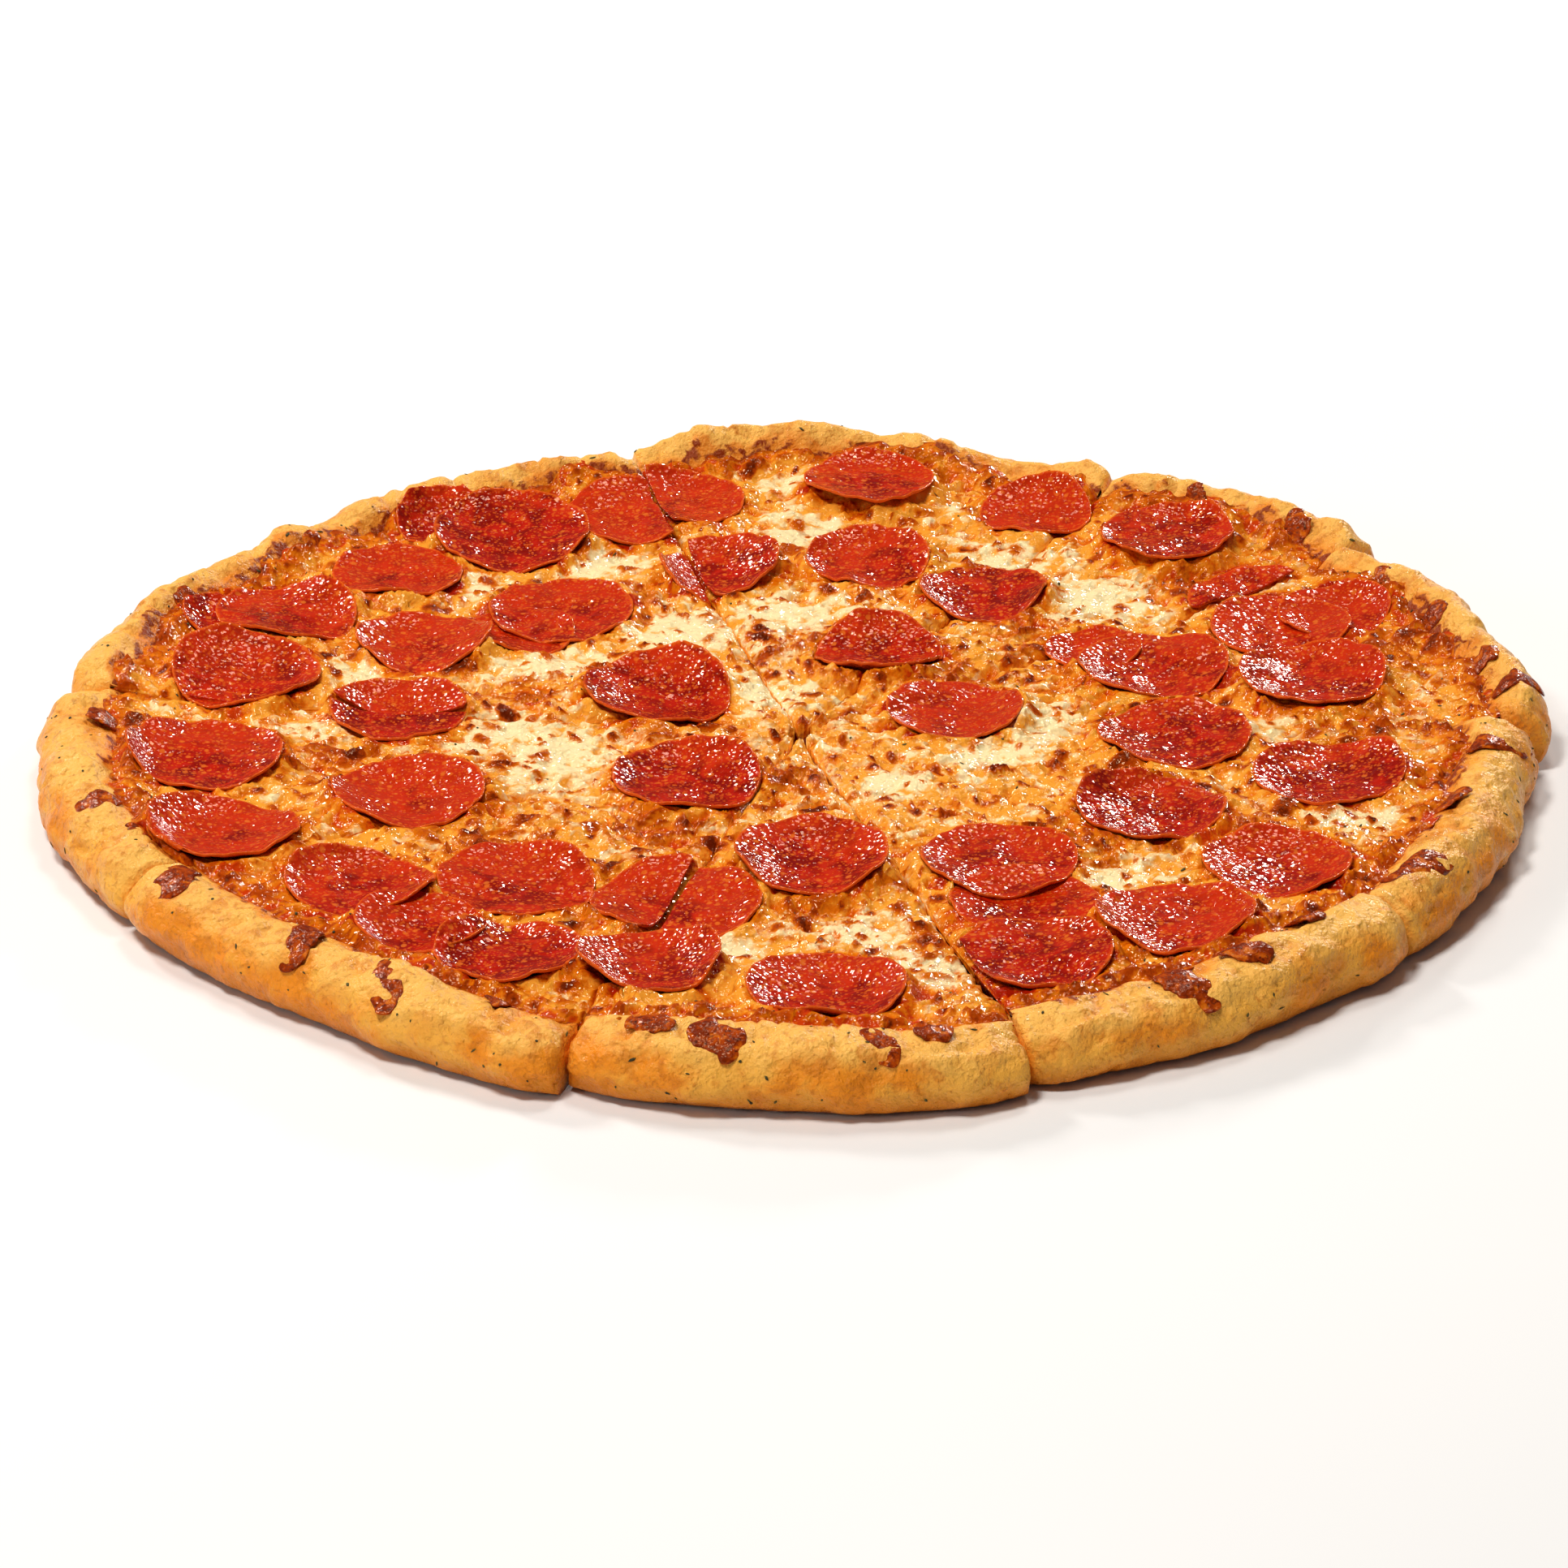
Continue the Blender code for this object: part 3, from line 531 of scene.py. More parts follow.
    def underside(self, x, y):
        return self.sheet(x, y) - PEPPERONI_THICKNESS / 2


def add_piece(name, points, faces, finish, node=None, tones=None):
    """A piece of the visual model from points in millimetres, with colour attributes for its finish."""
    mesh = bpy.data.meshes.new(name)
    points = np.reshape(points, (-1, 3))
    mesh.from_pydata((points * MM).tolist(), [], faces)
    mesh.materials.append(finish)
    for label, values in (tones or {}).items():
        layer = mesh.color_attributes.new(label, "FLOAT_COLOR", "POINT")
        flat = np.ones((len(points), 4))
        flat[:, :3] = np.reshape(values, (-1, 3))
        layer.data.foreach_set("color", flat.ravel())
    shape = bmesh.new()
    shape.from_mesh(mesh)
    bmesh.ops.recalc_face_normals(shape, faces=shape.faces)
    shape.to_mesh(mesh)
    shape.free()
    mesh.shade_smooth()
    obj = bpy.data.objects.new(name, mesh)
    bpy.context.collection.objects.link(obj)
    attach(obj, "root")
    if node:
        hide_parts(node)
    return obj


def loft_faces(columns, rows):
    """The faces of a body lofted through closed columns of points, with both its ends."""
    start = (np.arange(columns - 1) * rows)[:, None]
    here = np.arange(rows)[None, :]
    after = (here + 1) % rows
    quads = np.stack((start + here, start + after, start + rows + after, start + rows + here), axis=-1)
    ends = [list(range(rows)), list(range((columns - 1) * rows, columns * rows))]
    return quads.reshape(-1, 4).tolist() + ends


def curve_through(keys, counts):
    """Smooth columns of points through key points, given as arrays, with a count for each span."""
    keys = [keys[0]] + keys + [keys[-1]]
    found = []
    for span, count in enumerate(counts):
        for step in range(count):
            found.append(spline(*keys[span : span + 4], step / count))
    found.append(keys[-2])
    return found


def dough_piece(piece, finish):
    """A slice's dough: the CAD model's section with a puffed, dimpled skin and rounded cut ends."""
    columns = int(piece.arc / DOUGH_COLUMN_STEP)
    share = np.linspace(0, 1, columns)
    radius, height = piece.rim_radius(share), piece.rim_height(share)
    edge = piece.cheese_edge(share)
    keys = [np.stack((radius - RIM_UNDERSIDE, 0 * radius), -1)]
    for inward, part in RIM_SIDE:
        keys.append(np.stack((radius - inward, part * height), -1))
    keys.append(np.stack((radius - piece.crest, height), -1))
    stops = (edge, (edge + piece.foot) / 2, piece.foot, (piece.foot + SWELL_START) / 2, SWELL_START)
    for inward in stops:
        keys.append(np.stack((radius - inward, piece.dough_top(share, inward)), -1))
    skin = np.stack(curve_through(keys, (6, 7, 6, 7, 11, 8, 5, 4, 4, 4)), axis=1)

    # Bumps stand square to the skin, and fade out under the cheese and at the flat underside
    along = np.gradient(skin, axis=1)
    normal = np.stack((along[..., 1], -along[..., 0]), -1)
    normal /= np.maximum(np.linalg.norm(normal, axis=-1, keepdims=True), 1e-9)
    angle = piece.angle(share)[:, None]
    x = piece.push[0] + skin[..., 0] * np.cos(angle)
    y = piece.push[1] + skin[..., 0] * np.sin(angle)
    z = skin[..., 1]
    inward = radius[:, None] - skin[..., 0]
    on_top = z > 0.5 * height[:, None]
    open_skin = 1 - smooth((inward - edge[:, None] + 3) / 3) * on_top
    open_skin = open_skin * smooth(z / 3.5)
    puff = 1.50 * noise(x, y, z, 22, 41) + 1.25 * noise(x, y, z, 10, 42) + 0.60 * noise(x, y, z, 4.6, 43)
    puff += 0.28 * noise(x, y, z, 2.4, 44)
    around = angle * radius[:, None]
    pit, depth, size = scatter(around + 400, inward + z + 300, 9.0, 45)
    puff -= 0.9 * (depth > 0.55) * smooth(1 - pit / (1.2 + 2.2 * size))
    # Creases run from the inner rim over the crest where the dough was folded over
    fold = 1 - np.abs(noise(around, 0.25 * (inward + z), 0, 13, 46))
    puff -= 1.1 * smooth((fold - 0.86) / 0.14) * smooth((inward - 2) / 6)
    from_cut = np.minimum(share, 1 - share)[:, None] * piece.arc
    rounding = 1.3 * (1 - np.sqrt(1 - np.clip(1 - from_cut / 2.0, 0, 1) ** 2))
    skin = skin + normal * ((puff - rounding) * open_skin)[..., None]
    skin[..., 1] = np.maximum(skin[..., 1], 0.0)

    tip = np.broadcast_to(((TIP_RADIUS, BASE_THICKNESS), (TIP_RADIUS, 0.0)), (columns, 2, 2))
    section = np.concatenate((skin, tip), axis=1)
    points = piece.place(section[..., 0], angle, section[..., 1])
    # Where it is: height up the rim, nearness to the cheese, and how strongly it toasted
    px, py, pz = points[..., 0], points[..., 1], points[..., 2]
    inward = radius[:, None] - section[..., 0]
    up = np.clip(pz / height[:, None], 0, 1)
    near = smooth((inward - edge[:, None] + 5.0 + 3.5 * noise(px, py, pz, 7, 47)) / 5.0) * (pz > 3)
    toast = 0.5 + 0.5 * noise(px, py, pz, 24, 48) + 0.35 * noise(px, py, pz, 7, 49) + 0.25 * puff.mean()
    tones = {"place": np.stack((up, near, np.clip(toast, 0, 1)), -1)}
    faces = loft_faces(columns, points.shape[1])
    name = f"baked_dough_{piece.name}"
    return add_piece(name, points, faces, finish, f"dough_{piece.name}", tones)


def near_discs(piece, discs, x, y, z):
    """Distance outside the nearest pepperoni, how far the cheese climbs towards its edge, and the
    lowest underside above each point."""
    gap = np.full(x.shape, FAR)
    climb = np.zeros(x.shape)
    ceiling = np.full(x.shape, FAR)
    for disc in discs:
        if disc.cut and disc.piece is not piece:
            continue
        away = np.hypot(x - disc.middle[0], y - disc.middle[1]) - disc.radius
        gap = np.minimum(gap, away)
        near = away < 3 * CLIMB_REACH
        under = disc.underside(x[near], y[near])
        fade = np.exp(-((np.maximum(away[near], 0) / CLIMB_REACH) ** 2))
        climb[near] = np.maximum(climb[near], np.clip(under + LAP - z[near], 0, CLIMB) * fade)
        ceiling[near] = np.minimum(ceiling[near], np.where(away[near] < 0.2, under - 0.1, FAR))
    return np.maximum(gap, 0), climb, ceiling


def cheese_relief(x, y, calm, toasty, rim):
    """Height of the melted shreds and blisters, and how brown each point is, in the plan."""
    wx = x + 2.6 * noise(x, y, 0, 9, 51)
    wy = y + 2.6 * noise(x, y, 0, 9, 52)
    blob = noise(x, y, 0, 13, 53)
    shred = 1 - 2 * np.abs(noise(wx, 1.5 * wy, 0, 6.2, 54))
    knot = 1 - 2 * np.abs(noise(1.4 * wy, wx, 0, 5.0, 55))
    lump = noise(wx, wy, 0, 3.4, 56)
    fine = noise(x, y, 0, 1.6, 57)
    rough = 2.00 + 0.80 * toasty + 0.60 * rim - 0.95 * calm
    relief = 0.80 * blob + rough * (0.50 * shred + 0.46 * knot + 0.46 * lump + 0.22 * fine)

    brown = np.zeros(x.shape)
    for cell, seed, least, most, common in BLISTERS:
        away, size, chance = scatter(wx + 0.9 * lump, wy + 0.9 * fine, cell, seed)
        reach = least + (most - least) * size**1.4
        keep = chance < common + 0.42 * toasty + 0.30 * rim - 0.25 * calm + 0.45 * blob
        mask = smooth(1.3 * (1 - away * (1 + 0.35 * lump) / reach)) * keep
        wide = smooth(1 - away * (1 + 0.25 * lump) / (1.9 * reach)) * keep
        relief = relief + 1.00 * mask * (reach / most)
        brown = np.maximum(brown, mask * (0.50 + 0.65 * ((7 * size) % 1)))
        brown = np.maximum(brown, 0.40 * wide)
    high = (relief - 0.80 * blob) / 2.9
    ridge = smooth((high - 0.46 + 0.25 * toasty + 0.35 * rim - 0.25 * calm) / 0.5)
    brown = np.maximum(brown, (0.45 + 0.35 * toasty + 0.42 * rim) * ridge)
    return relief, brown, high


def cheese_piece(piece, discs, finish):
    """A slice's cheese: uneven, blistered, parted at the cuts, and pressed under its pepperoni."""
    columns = int(piece.arc / COLUMN_STEP)
    share = np.linspace(0, 1, columns)[:, None]
    radius, angle = piece.rim_radius(share), piece.angle(share)
    around = angle * radius
    edge = piece.cheese_edge(share) + 2.2 * noise(around, 0, 0, 9, 61)
    edge = edge + 1.0 * noise(around, 0, 0, 3.5, 62) - 0.8
    rows = int((piece.radii[0] - piece.edge) / CHEESE_ROW_STEP)
    along = np.linspace(0, 1, rows)[None, :]
    inward = edge + (radius - TIP_RADIUS - edge) * along
    out = radius - inward
    x = piece.push[0] + out * np.cos(angle)
    y = piece.push[1] + out * np.sin(angle)

    dough = piece.dough_top(share, inward)
    grow = smooth((inward - edge) / 4.5)
    z = dough - 0.35 + (piece.cheese_top(share, inward) - dough + 0.35) * grow
    rim = smooth(1 - (inward - edge) / 13)
    calm, toasty = patches(x, y, MILKY), patches(x, y, TOASTED)
    relief, brown, high = cheese_relief(x, y, calm, toasty, rim)
    z = z + relief * smooth((inward - edge) / 5) * 0.9
    gap, climb, ceiling = near_discs(piece, discs, x, y, z)
    z = z + climb * np.clip(0.78 + 0.9 * noise(x, y, 0, 7, 63), 0.15, 1.0)
    z = np.minimum(z, ceiling)
    # A cutter pressed both sides down and left them a little ragged
    from_cut = np.minimum(share, 1 - share) * (piece.last - piece.first) * out
    z = z - 1.0 * np.exp(-((from_cut / 0.9) ** 2)) - 0.35 * np.exp(-((from_cut / 3.0) ** 2))
    ragged = 0.26 * noise(out, 0, np.sign(share - 0.5), 4.0, 64) + 0.22
    ragged = ragged * np.exp(-from_cut / 1.5) * np.sign(share - 0.5) * smooth(out / 12)
    x = x - ragged * np.sin(angle)
    y = y + ragged * np.cos(angle)

    wide = noise(x, y, 0, 24, 65)
    patchy = noise(x, y, 0, 8, 66)
    halo = smooth(1 - gap / 6.5)
    # Oil, sauce and milk follow the relief: the hollows oilier and redder, partly pooled oil and partly
    # painted shade, the ridges paler as painted light
    oil = 0.56 + 0.55 * halo * (0.8 + 0.6 * patchy) + 0.70 * rim + 0.42 * toasty + 0.34 * wide
    oil = oil - 0.50 * calm - 0.95 * high + 0.34 * patchy
    band = smooth(1 - np.abs(inward - edge - 7.5) / 9)
    # Darker red right at a pepperoni's edge: partly sauce, partly a painted shadow under the disc's edge
    sauce_and_edge_shadow = np.exp(-((gap / 1.6) ** 2))
    sauce = 0.44 * band * (0.22 + 1.9 * patchy) + 0.62 * halo * (patchy + 0.30) + 0.46 * sauce_and_edge_shadow
    sauce = sauce - 0.55 * high - 0.1 * calm
    milk = 0.30 + 0.85 * calm + 0.35 * noise(x, y, 0, 5.5, 67) + 0.55 * high - 0.5 * halo - 0.4 * rim
    wet = 0.5 + 0.5 * noise(x, y, 0, 11, 68) + 0.3 * halo
    top = np.stack((x, y, z), -1)
    first = np.stack((oil, brown, sauce), -1)
    # The third skin value is painted shade: it grows where the relief lies low, so the hollows turn a
    # darker orange
    second = np.stack((milk, wet, 0.5 - 0.5 * high), -1)

    # The underside and the two cut faces, from the tip outward, where sauce shows
    stops = [piece.foot + 20, piece.foot + 8, piece.foot, (piece.edge + piece.foot) / 2]
    under = [np.broadcast_to((TIP_RADIUS, BASE_THICKNESS), (columns, 2))]
    for stop in (SWELL_START, *stops):
        under.append(np.concatenate((radius - stop, piece.dough_top(share, stop) + 0.1), 1))
    under.append(np.concatenate((radius - edge, piece.dough_top(share, edge) - 0.7), 1))
    under = np.stack(under, axis=1)
    low = piece.place(under[..., 0], angle, under[..., 1])
    points = np.concatenate((low, top), axis=1)
    shape = low.shape[:2]
    first = np.concatenate((np.broadcast_to((0.7, 0.0, 1.0), (*shape, 3)), first), axis=1)
    second = np.concatenate((np.broadcast_to((0.0, 0.5, 0.0), (*shape, 3)), second), axis=1)
    tones = {"melt": first, "skin": second}
    faces = loft_faces(columns, points.shape[1])
    name = f"melted_cheese_{piece.name}"
    return add_piece(name, points, faces, finish, f"cheese_{piece.name}", tones)


def disc_piece(disc, finish):
    """A pepperoni's mesh, with how far out each point is, on which side, and the disc's own tone with
    painted light towards its back.
    """
    points, layout = disc.points()
    # The first and last ring have shrunk to a point each, which is kept once
    sides = DISC_SIDES
    kept = [0, *range(sides, (len(layout) - 1) * sides + 1)]
    points = points[kept]
    last = len(points) - 1
    faces = []
    for here in range(1, last - sides, sides):
        there = here + sides
        for i in range(sides):
            j = (i + 1) % sides
            faces.append((here + i, there + i, there + j, here + j))
    for i in range(sides):
        j = (i + 1) % sides
        faces.append((0, 1 + i, 1 + j))
        faces.append((last, last - sides + j, last - sides + i))
    out = np.hypot(points[:, 0] - disc.middle[0], points[:, 1] - disc.middle[1]) / disc.radius
    side = np.repeat(layout[:, 1], sides)[kept] * 0.5 + 0.5
    # The tone is the disc's own random draw plus painted light that grows towards the back of the disc
    tone_and_back_light = disc.draws[3] + 0.35 * (points[:, 1] - disc.middle[1]) / disc.radius
    tones = {"disc": np.stack((out, side, tone_and_back_light), -1)}
    node = disc.name if disc.name.startswith("pepperoni") else None
    return add_piece(f"baked_{disc.name}", points, faces, finish, node, tones)


def rim_surface(piece, x, y):
    """Height of the rim's upper skin, from its steep outside over the crest to the cheese."""
    share, out = piece.local(x, y)
    inward = np.maximum(piece.rim_radius(share) - out, 1.0)
    shoulder = RIM_SIDE[-2][1]
    outer = piece.rim_height(share) * (shoulder + (1 - shoulder) * np.sin(pi / 2 * inward / piece.crest))
    return np.where(inward >= piece.crest, piece.dough_top(share, inward), outer)


def shred_piece(pieces, finish):
    """All the browned shreds on the rim as one piece of flattened, knobbly pods."""
    points, faces = [], []
    for slice_name, direction, inward, length, width, turn in SHREDS + LUMPS:
        piece = pieces[slice_name]
        share = (radians(direction) - piece.first) / (piece.last - piece.first)
        heading = radians(direction + 90 - turn)
        out = float(piece.rim_radius(np.array(share))) - inward
        x0 = piece.push[0] + out * cos(piece.angle(share))
        y0 = piece.push[1] + out * sin(piece.angle(share))
        travel = np.sin(np.linspace(-pi / 2, pi / 2, SHREDS_RINGS))[:, None]
        turned = (2 * pi * np.arange(SHREDS_SIDES) / SHREDS_SIDES)[None, :]
        bulge = 1 + 0.45 * noise(x0 + 6 * travel, y0, 0, 2.4, 71)
        full = np.maximum(np.sqrt(1 - np.clip(travel, -1, 1) ** 2), 0.05) ** 0.7 * bulge
        drift = 0.8 * noise(x0 + 8 * travel, y0 + 40, 0, 5, 72)
        across = np.cos(turned) * 0.74 * width * full + drift
        x = x0 + travel * 0.62 * length * cos(heading) - across * sin(heading)
        y = y0 + travel * 0.62 * length * sin(heading) + across * cos(heading)
        knobs = 0.42 * noise(x, y, np.sin(turned) * 2, 2.6, 73)
        lift = (np.sin(turned) * 0.8 + knobs * (np.sin(turned) > -0.2)) * full + 0.2
        z = rim_surface(piece, x, y) + lift
        start = sum(len(p) for p in points)
        points.append(np.stack((x, y, z), -1).reshape(-1, 3))
        faces += [[start + i for i in face] for face in loft_faces(SHREDS_RINGS, SHREDS_SIDES)]
    return add_piece("browned_shreds", np.concatenate(points), faces, finish)


def herb_piece(grounds, finish):
    """Dried herb flakes strewn over the rim, its side and the cheese, as one piece."""
    rng = np.random.default_rng(7)
    trees = [BVHTree.FromObject(ground, bpy.context.evaluated_depsgraph_get()) for ground in grounds]
    landed = []
    for number in range(FLAKE_TRIES):
        turn = rng.random() * 2 * pi
        if number % 4 == 3:
            # On the outside of the rim
            start = Vector((0.3 * cos(turn), 0.3 * sin(turn), (3 + 11 * rng.random()) * MM))
            heading = Vector((-cos(turn), -sin(turn), 0))
        else:
            # Two from above onto the rim for each one onto the cheese
            out = (181 - 42 * rng.random() ** 1.6) if number % 4 else 170 * rng.random() ** 0.5
            start = Vector((out * cos(turn) * MM, out * sin(turn) * MM, 0.1))
            heading = Vector((0, 0, -1))
        hits = [tree.ray_cast(start, heading) for tree in trees]
        hits = [hit for hit in hits if hit[0]]
        # Flakes come in loose clusters
        crowd = float(noise(180 * cos(turn), 180 * sin(turn), 0, 45, 81))
        if hits and rng.random() < 0.42 + 0.5 * crowd:
            landed.append(min(hits, key=lambda hit: hit[3])[:2])
    points, faces = [], []
    for place, normal in landed:
        normal = Vector(normal)
        side = normal.cross(Vector(rng.normal(size=3))).normalized()
        other = normal.cross(side)
        long, wide, thick = 0.30 + 0.7 * rng.random() ** 2, 0.15 + 0.25 * rng.random(), 0.12
        start = len(points)
        spine = 0.15 * rng.random()
        for along, across, raised in FLAKE:
            flat = Vector(place) / MM + side * (along * long) + other * (across * wide)
            points.append(tuple(flat + normal * (raised * spine + thick)))
        top = list(range(start, start + 6))
        for i in top:
            points.append(tuple(Vector(points[i]) - normal * thick))
        faces.append(top)
        faces.append([i + 6 for i in reversed(top)])
        for i in range(6):
            j = (i + 1) % 6
            faces.append((start + i, start + i + 6, start + j + 6, start + j))
    return add_piece("herb_flakes", points, faces, finish)


def tint(red, green, blue):
    """A colour as a screen shows it, from 0 to 255, for a shader's socket."""
    parts = [c / 255 for c in (red, green, blue)]
    return (*[p / 12.92 if p <= 0.04045 else ((p + 0.055) / 1.055) ** 2.4 for p in parts], 1.0)


class Finish:
    """A Principled material whose nodes are added one by one."""

    def __init__(self, name, values):
        self.material = bpy.data.materials.new(name)
        self.material.use_nodes = True
        self.tree = self.material.node_tree
        self.shader = self.tree.nodes["Principled BSDF"]
        self.place = self.node("ShaderNodeTexCoord").outputs["Object"]
        for key, value in values.items():
            self.plug(self.shader, key, value)

    def plug(self, node, key, value):
        socket = node.inputs[key]
        if isinstance(value, bpy.types.NodeSocket):
            self.tree.links.new(value, socket)
        else:
            socket.default_value = value

    def node(self, kind, plugs=None, **settings):
        made = self.tree.nodes.new(kind)
        for key, value in settings.items():
            setattr(made, key, value)
        for key, value in (plugs or {}).items():
            self.plug(made, key, value)
        return made

    def noise(self, cell, detail, warp=0.0):
        """Noise from 0 to 1 with bumps of a cell in millimetres."""
        plugs = {"Vector": self.place, "Scale": 1 / (cell * MM), "Detail": detail, "Distortion": warp}
        return self.node("ShaderNodeTexNoise", plugs).outputs["Fac"]

    def grains(self, cell):
        """Distance to the nearest of scattered points, in cells, and that point's random colour."""
        made = self.node("ShaderNodeTexVoronoi", {"Vector": self.place, "Scale": 1 / (cell * MM)})
        return made.outputs["Distance"], made.outputs["Color"]

    def split(self, colour):
        """The red, green and blue values of a colour."""
        parts = self.node("ShaderNodeSeparateColor", {"Color": colour})
        return parts.outputs["Red"], parts.outputs["Green"], parts.outputs["Blue"]

    def channels(self, name):
        """The three values of a colour attribute."""
        return self.split(self.node("ShaderNodeAttribute", attribute_name=name).outputs["Color"])

    def math(self, operation, a, b, c=0.0):
        return self.node("ShaderNodeMath", {0: a, 1: b, 2: c}, operation=operation).outputs[0]

    def add(self, total, *parts):
        """A total plus each part times the number that follows it."""
        for part, times in zip(parts[::2], parts[1::2]):
            total = self.math("MULTIPLY_ADD", part, times, total)
        return total

    def between(self, value, low, high, least=0.0, most=1.0):
        """0 below low and 1 above high, with an S curve between, or from least to most."""
        plugs = {"Value": value, "From Min": low, "From Max": high, "To Min": least, "To Max": most}
        made = self.node("ShaderNodeMapRange", plugs, interpolation_type="SMOOTHSTEP")
        return made.outputs["Result"]

    def mix(self, share, a, b):
        made = self.node("ShaderNodeMix", data_type="RGBA")
        self.plug(made, 0, share)
        self.plug(made, 6, a)
        self.plug(made, 7, b)
        return made.outputs[2]

    def start(self, value, low, high, first, second):
        """The lowest layer: one colour below low and another above high."""
        self.colour = self.mix(self.between(value, low, high), tint(*first), tint(*second))

    def cover(self, value, low, high, colour, most=1.0):
        """Lays one more colour over the layers below it, from none at low to most of it at high."""
        share = self.between(value, low, high, 0.0, most)
        self.colour = self.mix(share, self.colour, tint(*colour))

    def bump(self, *layers):
        """Stacks heights, each with a depth in millimetres, and plugs the result in."""
        last = None
        for height, depth in layers:
            plugs = {"Height": height, "Distance": depth * MM, "Strength": 1.0}
            if last:
                plugs["Normal"] = last
            last = self.node("ShaderNodeBump", plugs).outputs["Normal"]
        self.plug(self.shader, "Normal", last)

    def finish(self, roughness):
        self.plug(self.shader, "Base Color", self.colour)
        self.plug(self.shader, "Roughness", roughness)
        return self.material


def cheese_finish():
    values = {
        "Specular Tint": (1.0, 0.78, 0.48, 1.0),
        "Subsurface Weight": 0.08,
        "Subsurface Scale": 0.002,
        "Subsurface Radius": (1.0, 0.55, 0.25),
    }
    f = Finish("melted_cheese", values)
    oil, brown, sauce = f.channels("melt")
    milk, wet, hollow_shade = f.channels("skin")
    small, tiny, soft = f.noise(1.3, 4), f.noise(0.5, 3), f.noise(3.4, 3, 0.6)
    crisp = f.math("SUBTRACT", f.add(small, tiny, 0.5), 0.75)
    gentle = f.math("SUBTRACT", soft, 0.5)
    f.start(f.add(milk, gentle, 2.2), 0.44, 1.00, (246, 162, 50), (255, 232, 176))
    # Orange oil, thin and thick, then painted shade in the hollows, sauce, and three stages of brown
    f.cover(f.add(oil, gentle, 1.4, crisp, 0.7), 0.34, 0.78, (228, 116, 6))
    f.cover(f.add(oil, gentle, 1.2, crisp, 0.7), 0.74, 1.16, (200, 58, 3))
    # Painted shade in the hollows
    f.cover(f.add(hollow_shade, gentle, 0.6, crisp, 0.4), 0.60, 0.84, (200, 84, 5), 0.8)
    f.cover(f.add(sauce, gentle, 1.0, crisp, 0.4), 0.42, 0.82, (170, 28, 4))
    f.cover(f.add(brown, crisp, 0.5, gentle, 0.4), 0.14, 0.50, (218, 112, 8))
    f.cover(f.add(brown, crisp, 0.6), 0.42, 0.80, (178, 66, 4))
    f.cover(f.add(brown, crisp, 0.6), 0.78, 1.10, (104, 30, 3))
    shine = f.between(f.add(brown, sauce, 0.4), 0.15, 0.70, 0.40, 0.20)
    f.plug(f.shader, "Specular IOR Level", shine)
    f.bump((f.noise(2.1, 1, 0.5), 0.65), (f.math("POWER", f.grains(1.7)[0], 2.0), 0.36))
    return f.finish(f.between(f.add(wet, crisp, 0.5), 0.2, 0.95, 0.20, 0.08))


def pepperoni_finish():
    f = Finish("baked_pepperoni", {"Specular IOR Level": 0.42, "Specular Tint": (1.0, 0.66, 0.48, 1.0)})
    out, side, tone_and_back_light = f.channels("disc")
    mottle, small = f.noise(6.0, 4, 0.6), f.noise(1.2, 4)
    f.start(mottle, 0.36, 0.64, (132, 10, 3), (190, 26, 6))
    broad = f.add(f.noise(13, 2, 0.4), mottle, 0.7)
    # Lighter orange-red where the tone, broad mottling and the outer part add up; the tone carries
    # painted light on each disc's back
    f.cover(f.add(tone_and_back_light, broad, 1.9, out, 0.55), 2.05, 2.85, (208, 50, 10), 0.70)
    # Flecks of fat, large and small
    away, draw = f.grains(2.1)
    size = f.math("MULTIPLY", f.split(draw)[0], 0.34)
    fleck = f.math("SUBTRACT", f.add(away, small, 0.35), size)
    f.cover(fleck, 0.30, 0.10, (228, 112, 34), 0.75)
    away, draw = f.grains(0.9)
    size = f.math("MULTIPLY", f.split(draw)[1], 0.42)
    f.cover(f.math("SUBTRACT", away, size), 0.2, 0.0, (218, 88, 24), 0.7)
    # The thin edge with a painted highlight in brighter orange, and the underside
    f.cover(f.add(out, small, 0.08), 0.99, 1.04, (232, 100, 22), 0.75)
    f.cover(side, 0.45, 0.05, (232, 112, 48), 0.6)
    f.bump((f.noise(3.0, 1, 0.4), 0.40), (f.math("POWER", f.grains(1.5)[0], 2.0), 0.26))
    return f.finish(f.between(f.add(mottle, small, 0.6), 0.5, 1.1, 0.08, 0.15))


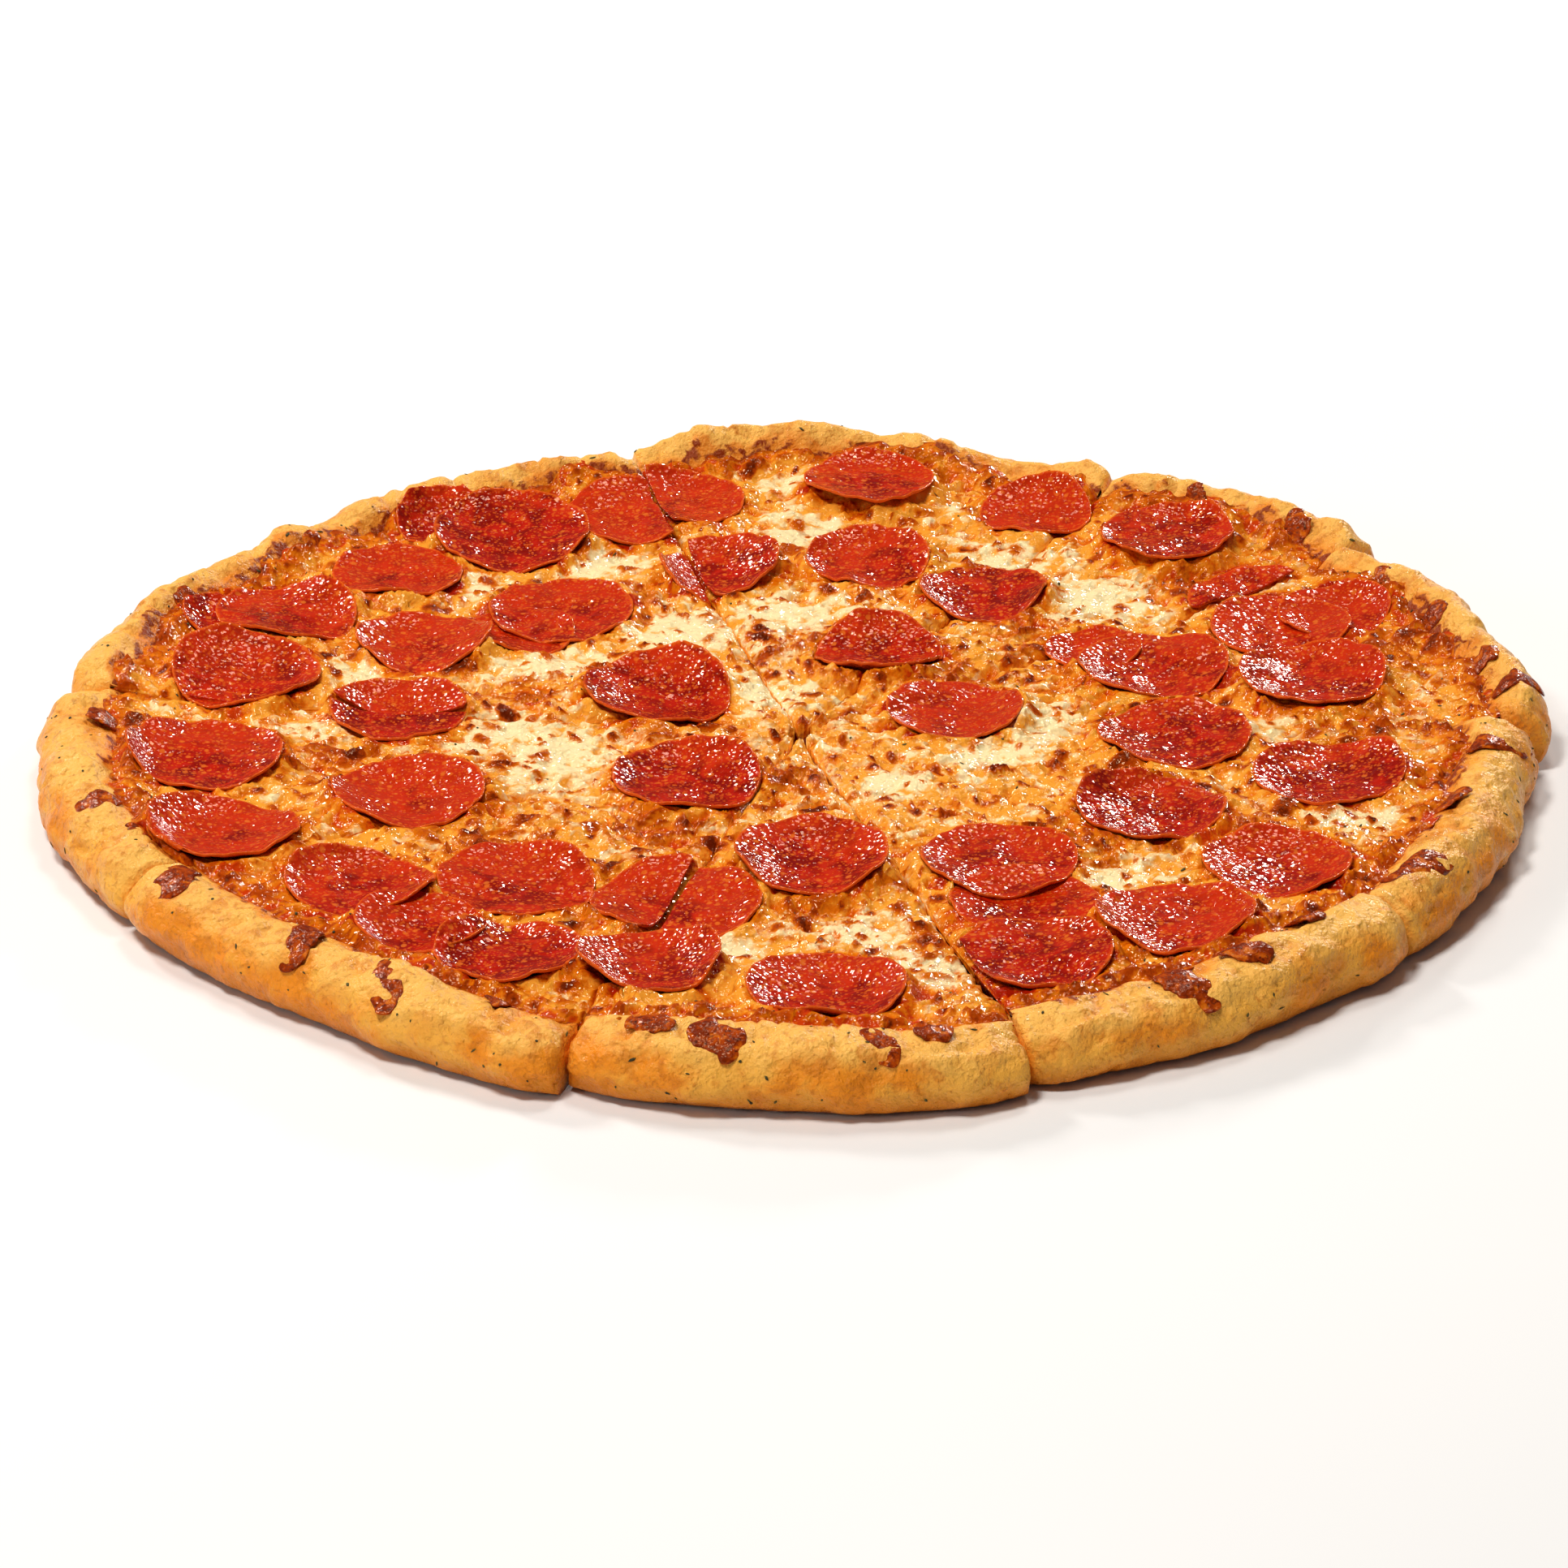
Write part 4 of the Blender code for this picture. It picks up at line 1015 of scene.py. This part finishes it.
def dough_finish():
    values = {
        "Specular IOR Level": 0.32,
        "Specular Tint": (1.0, 0.78, 0.44, 1.0),
        "Subsurface Weight": 0.03,
        "Subsurface Scale": 0.0015,
    }
    f = Finish("baked_dough", values)
    up, near, toast = f.channels("place")
    broad, patch, small = f.noise(16, 3, 0.4), f.noise(5.5, 4, 0.4), f.noise(1.5, 5)
    shift = f.math("SUBTRACT", f.add(patch, small, 0.45), 0.72)
    f.start(f.add(toast, shift, 1.0, broad, 0.3), 0.25, 0.90, (255, 182, 72), (248, 146, 32))
    # The crown paler as painted light, the low side darker as painted shade, then the bottom, blotches
    # and grain, then oil and burnt spots near the cheese
    # Painted light on the crown of the rim
    f.cover(f.add(up, shift, 0.6, toast, -0.25), 0.50, 0.90, (255, 193, 92), 0.85)
    # Painted shade down the low side of the rim
    f.cover(f.add(up, shift, 0.35), 0.50, 0.08, (220, 128, 28))
    f.cover(f.add(up, shift, 0.20), 0.16, 0.02, (150, 72, 16))
    f.cover(f.add(f.noise(3.6, 4, 0.8), toast, 0.18), 0.58, 0.80, (212, 118, 24), 0.65)
    f.cover(small, 0.58, 0.74, (190, 102, 20), 0.6)
    spill = f.math("SUBTRACT", f.noise(9, 3, 0.6), 0.5)
    f.cover(f.add(near, shift, 1.0, spill, 1.5), 0.52, 1.12, (236, 130, 22), 0.85)
    f.cover(f.add(near, f.noise(2.8, 4, 0.5), 1.5, shift, 0.4), 1.62, 1.88, (146, 50, 8))
    f.bump((f.noise(2.8, 4, 0.4), 0.9), (small, 0.7), (f.noise(1.0, 1), 0.30), (f.noise(0.45, 3), 0.15))
    return f.finish(f.between(f.add(patch, small, 0.5), 0.5, 1.0, 0.24, 0.44))


def shred_finish():
    f = Finish("browned_shreds", {"Specular IOR Level": 0.25, "Specular Tint": (1.0, 0.66, 0.40, 1.0)})
    patch, small = f.noise(2.6, 3, 0.5), f.noise(0.9, 3)
    f.start(f.add(patch, small, 0.5), 0.58, 0.88, (180, 68, 8), (124, 36, 4))
    f.cover(small, 0.56, 0.70, (84, 20, 3))
    f.cover(patch, 0.44, 0.32, (222, 116, 16), 0.7)
    f.bump((patch, 0.6), (f.noise(1.0, 1), 0.25))
    return f.finish(f.between(small, 0.35, 0.65, 0.16, 0.30))


def herb_finish():
    f = Finish("dried_herbs", {"Specular IOR Level": 0.3})
    shade = f.noise(1.2, 3)
    f.start(shade, 0.35, 0.65, (44, 44, 18), (96, 88, 38))
    f.bump((f.noise(0.3, 2), 0.05))
    return f.finish(f.between(shade, 0.3, 0.7, 0.6, 0.85))


def floor_finish():
    f = Finish("pale_floor", {"Specular IOR Level": 0.2})
    shade = f.noise(400, 2)
    f.colour = f.mix(f.between(shade, 0.3, 0.7), (0.90, 0.90, 0.90, 1.0), (0.93, 0.93, 0.93, 1.0))
    return f.finish(f.between(shade, 0.3, 0.7, 0.6, 0.7))


def add_light(name, place, size, power):
    """A square lamp that shines at the middle of the pizza."""
    lamp = bpy.data.lights.new(name, "AREA")
    lamp.shape = "SQUARE"
    lamp.size = size
    lamp.energy = power
    lamp.color = LAMP_COLOUR
    obj = bpy.data.objects.new(name, lamp)
    obj.location = place
    obj.rotation_euler = (-Vector(place)).to_track_quat("-Z", "Y").to_euler()
    bpy.context.collection.objects.link(obj)


def build_stage():
    """A plain pale floor, soft studio light and the camera."""
    mesh = bpy.data.meshes.new("floor")
    corners = [(x * FLOOR_HALF, y * FLOOR_HALF, 0) for x, y in ((-1, -1), (1, -1), (1, 1), (-1, 1))]
    mesh.from_pydata(corners, [], [(0, 1, 2, 3)])
    mesh.materials.append(floor_finish())
    floor = bpy.data.objects.new("floor", mesh)
    bpy.context.collection.objects.link(floor)

    for lamp in LAMPS:
        add_light(*lamp)

    scene = bpy.context.scene
    world = bpy.data.worlds.new("studio")
    world.use_nodes = True
    background = world.node_tree.nodes["Background"]
    background.inputs["Color"].default_value = (1.0, 1.0, 1.0, 1.0)
    background.inputs["Strength"].default_value = WORLD_STRENGTH
    scene.world = world
    scene.view_settings.view_transform = "Standard"

    lens = bpy.data.cameras.new("camera")
    lens.lens = LENS
    lens.sensor_width = SENSOR
    camera = bpy.data.objects.new("camera", lens)
    camera.location = CAMERA_TARGET + CAMERA_DISTANCE * Vector((0, -cos(CAMERA_RISE), sin(CAMERA_RISE)))
    camera.rotation_euler = (pi / 2 - CAMERA_RISE, 0, 0)
    bpy.context.collection.objects.link(camera)
    scene.camera = camera


def main():
    pieces = {row[0]: Slice(*row) for row in SLICES}
    discs = []
    for kind, rows in (("pepperoni", PEPPERONI), ("buried_pepperoni", BURIED)):
        for number, row in enumerate(rows, 1):
            discs.append(Disc(pieces[row[0]], f"{kind}_{number:02d}", *row[1:]))
    dough, cheese, meat = dough_finish(), cheese_finish(), pepperoni_finish()
    grounds = []
    for piece in pieces.values():
        grounds.append(dough_piece(piece, dough))
        grounds.append(cheese_piece(piece, discs, cheese))
    for disc in discs:
        disc_piece(disc, meat)
    shred_piece(pieces, shred_finish())
    herb_piece(grounds, herb_finish())
    build_stage()


main()

bpy.context.view_layer.update()
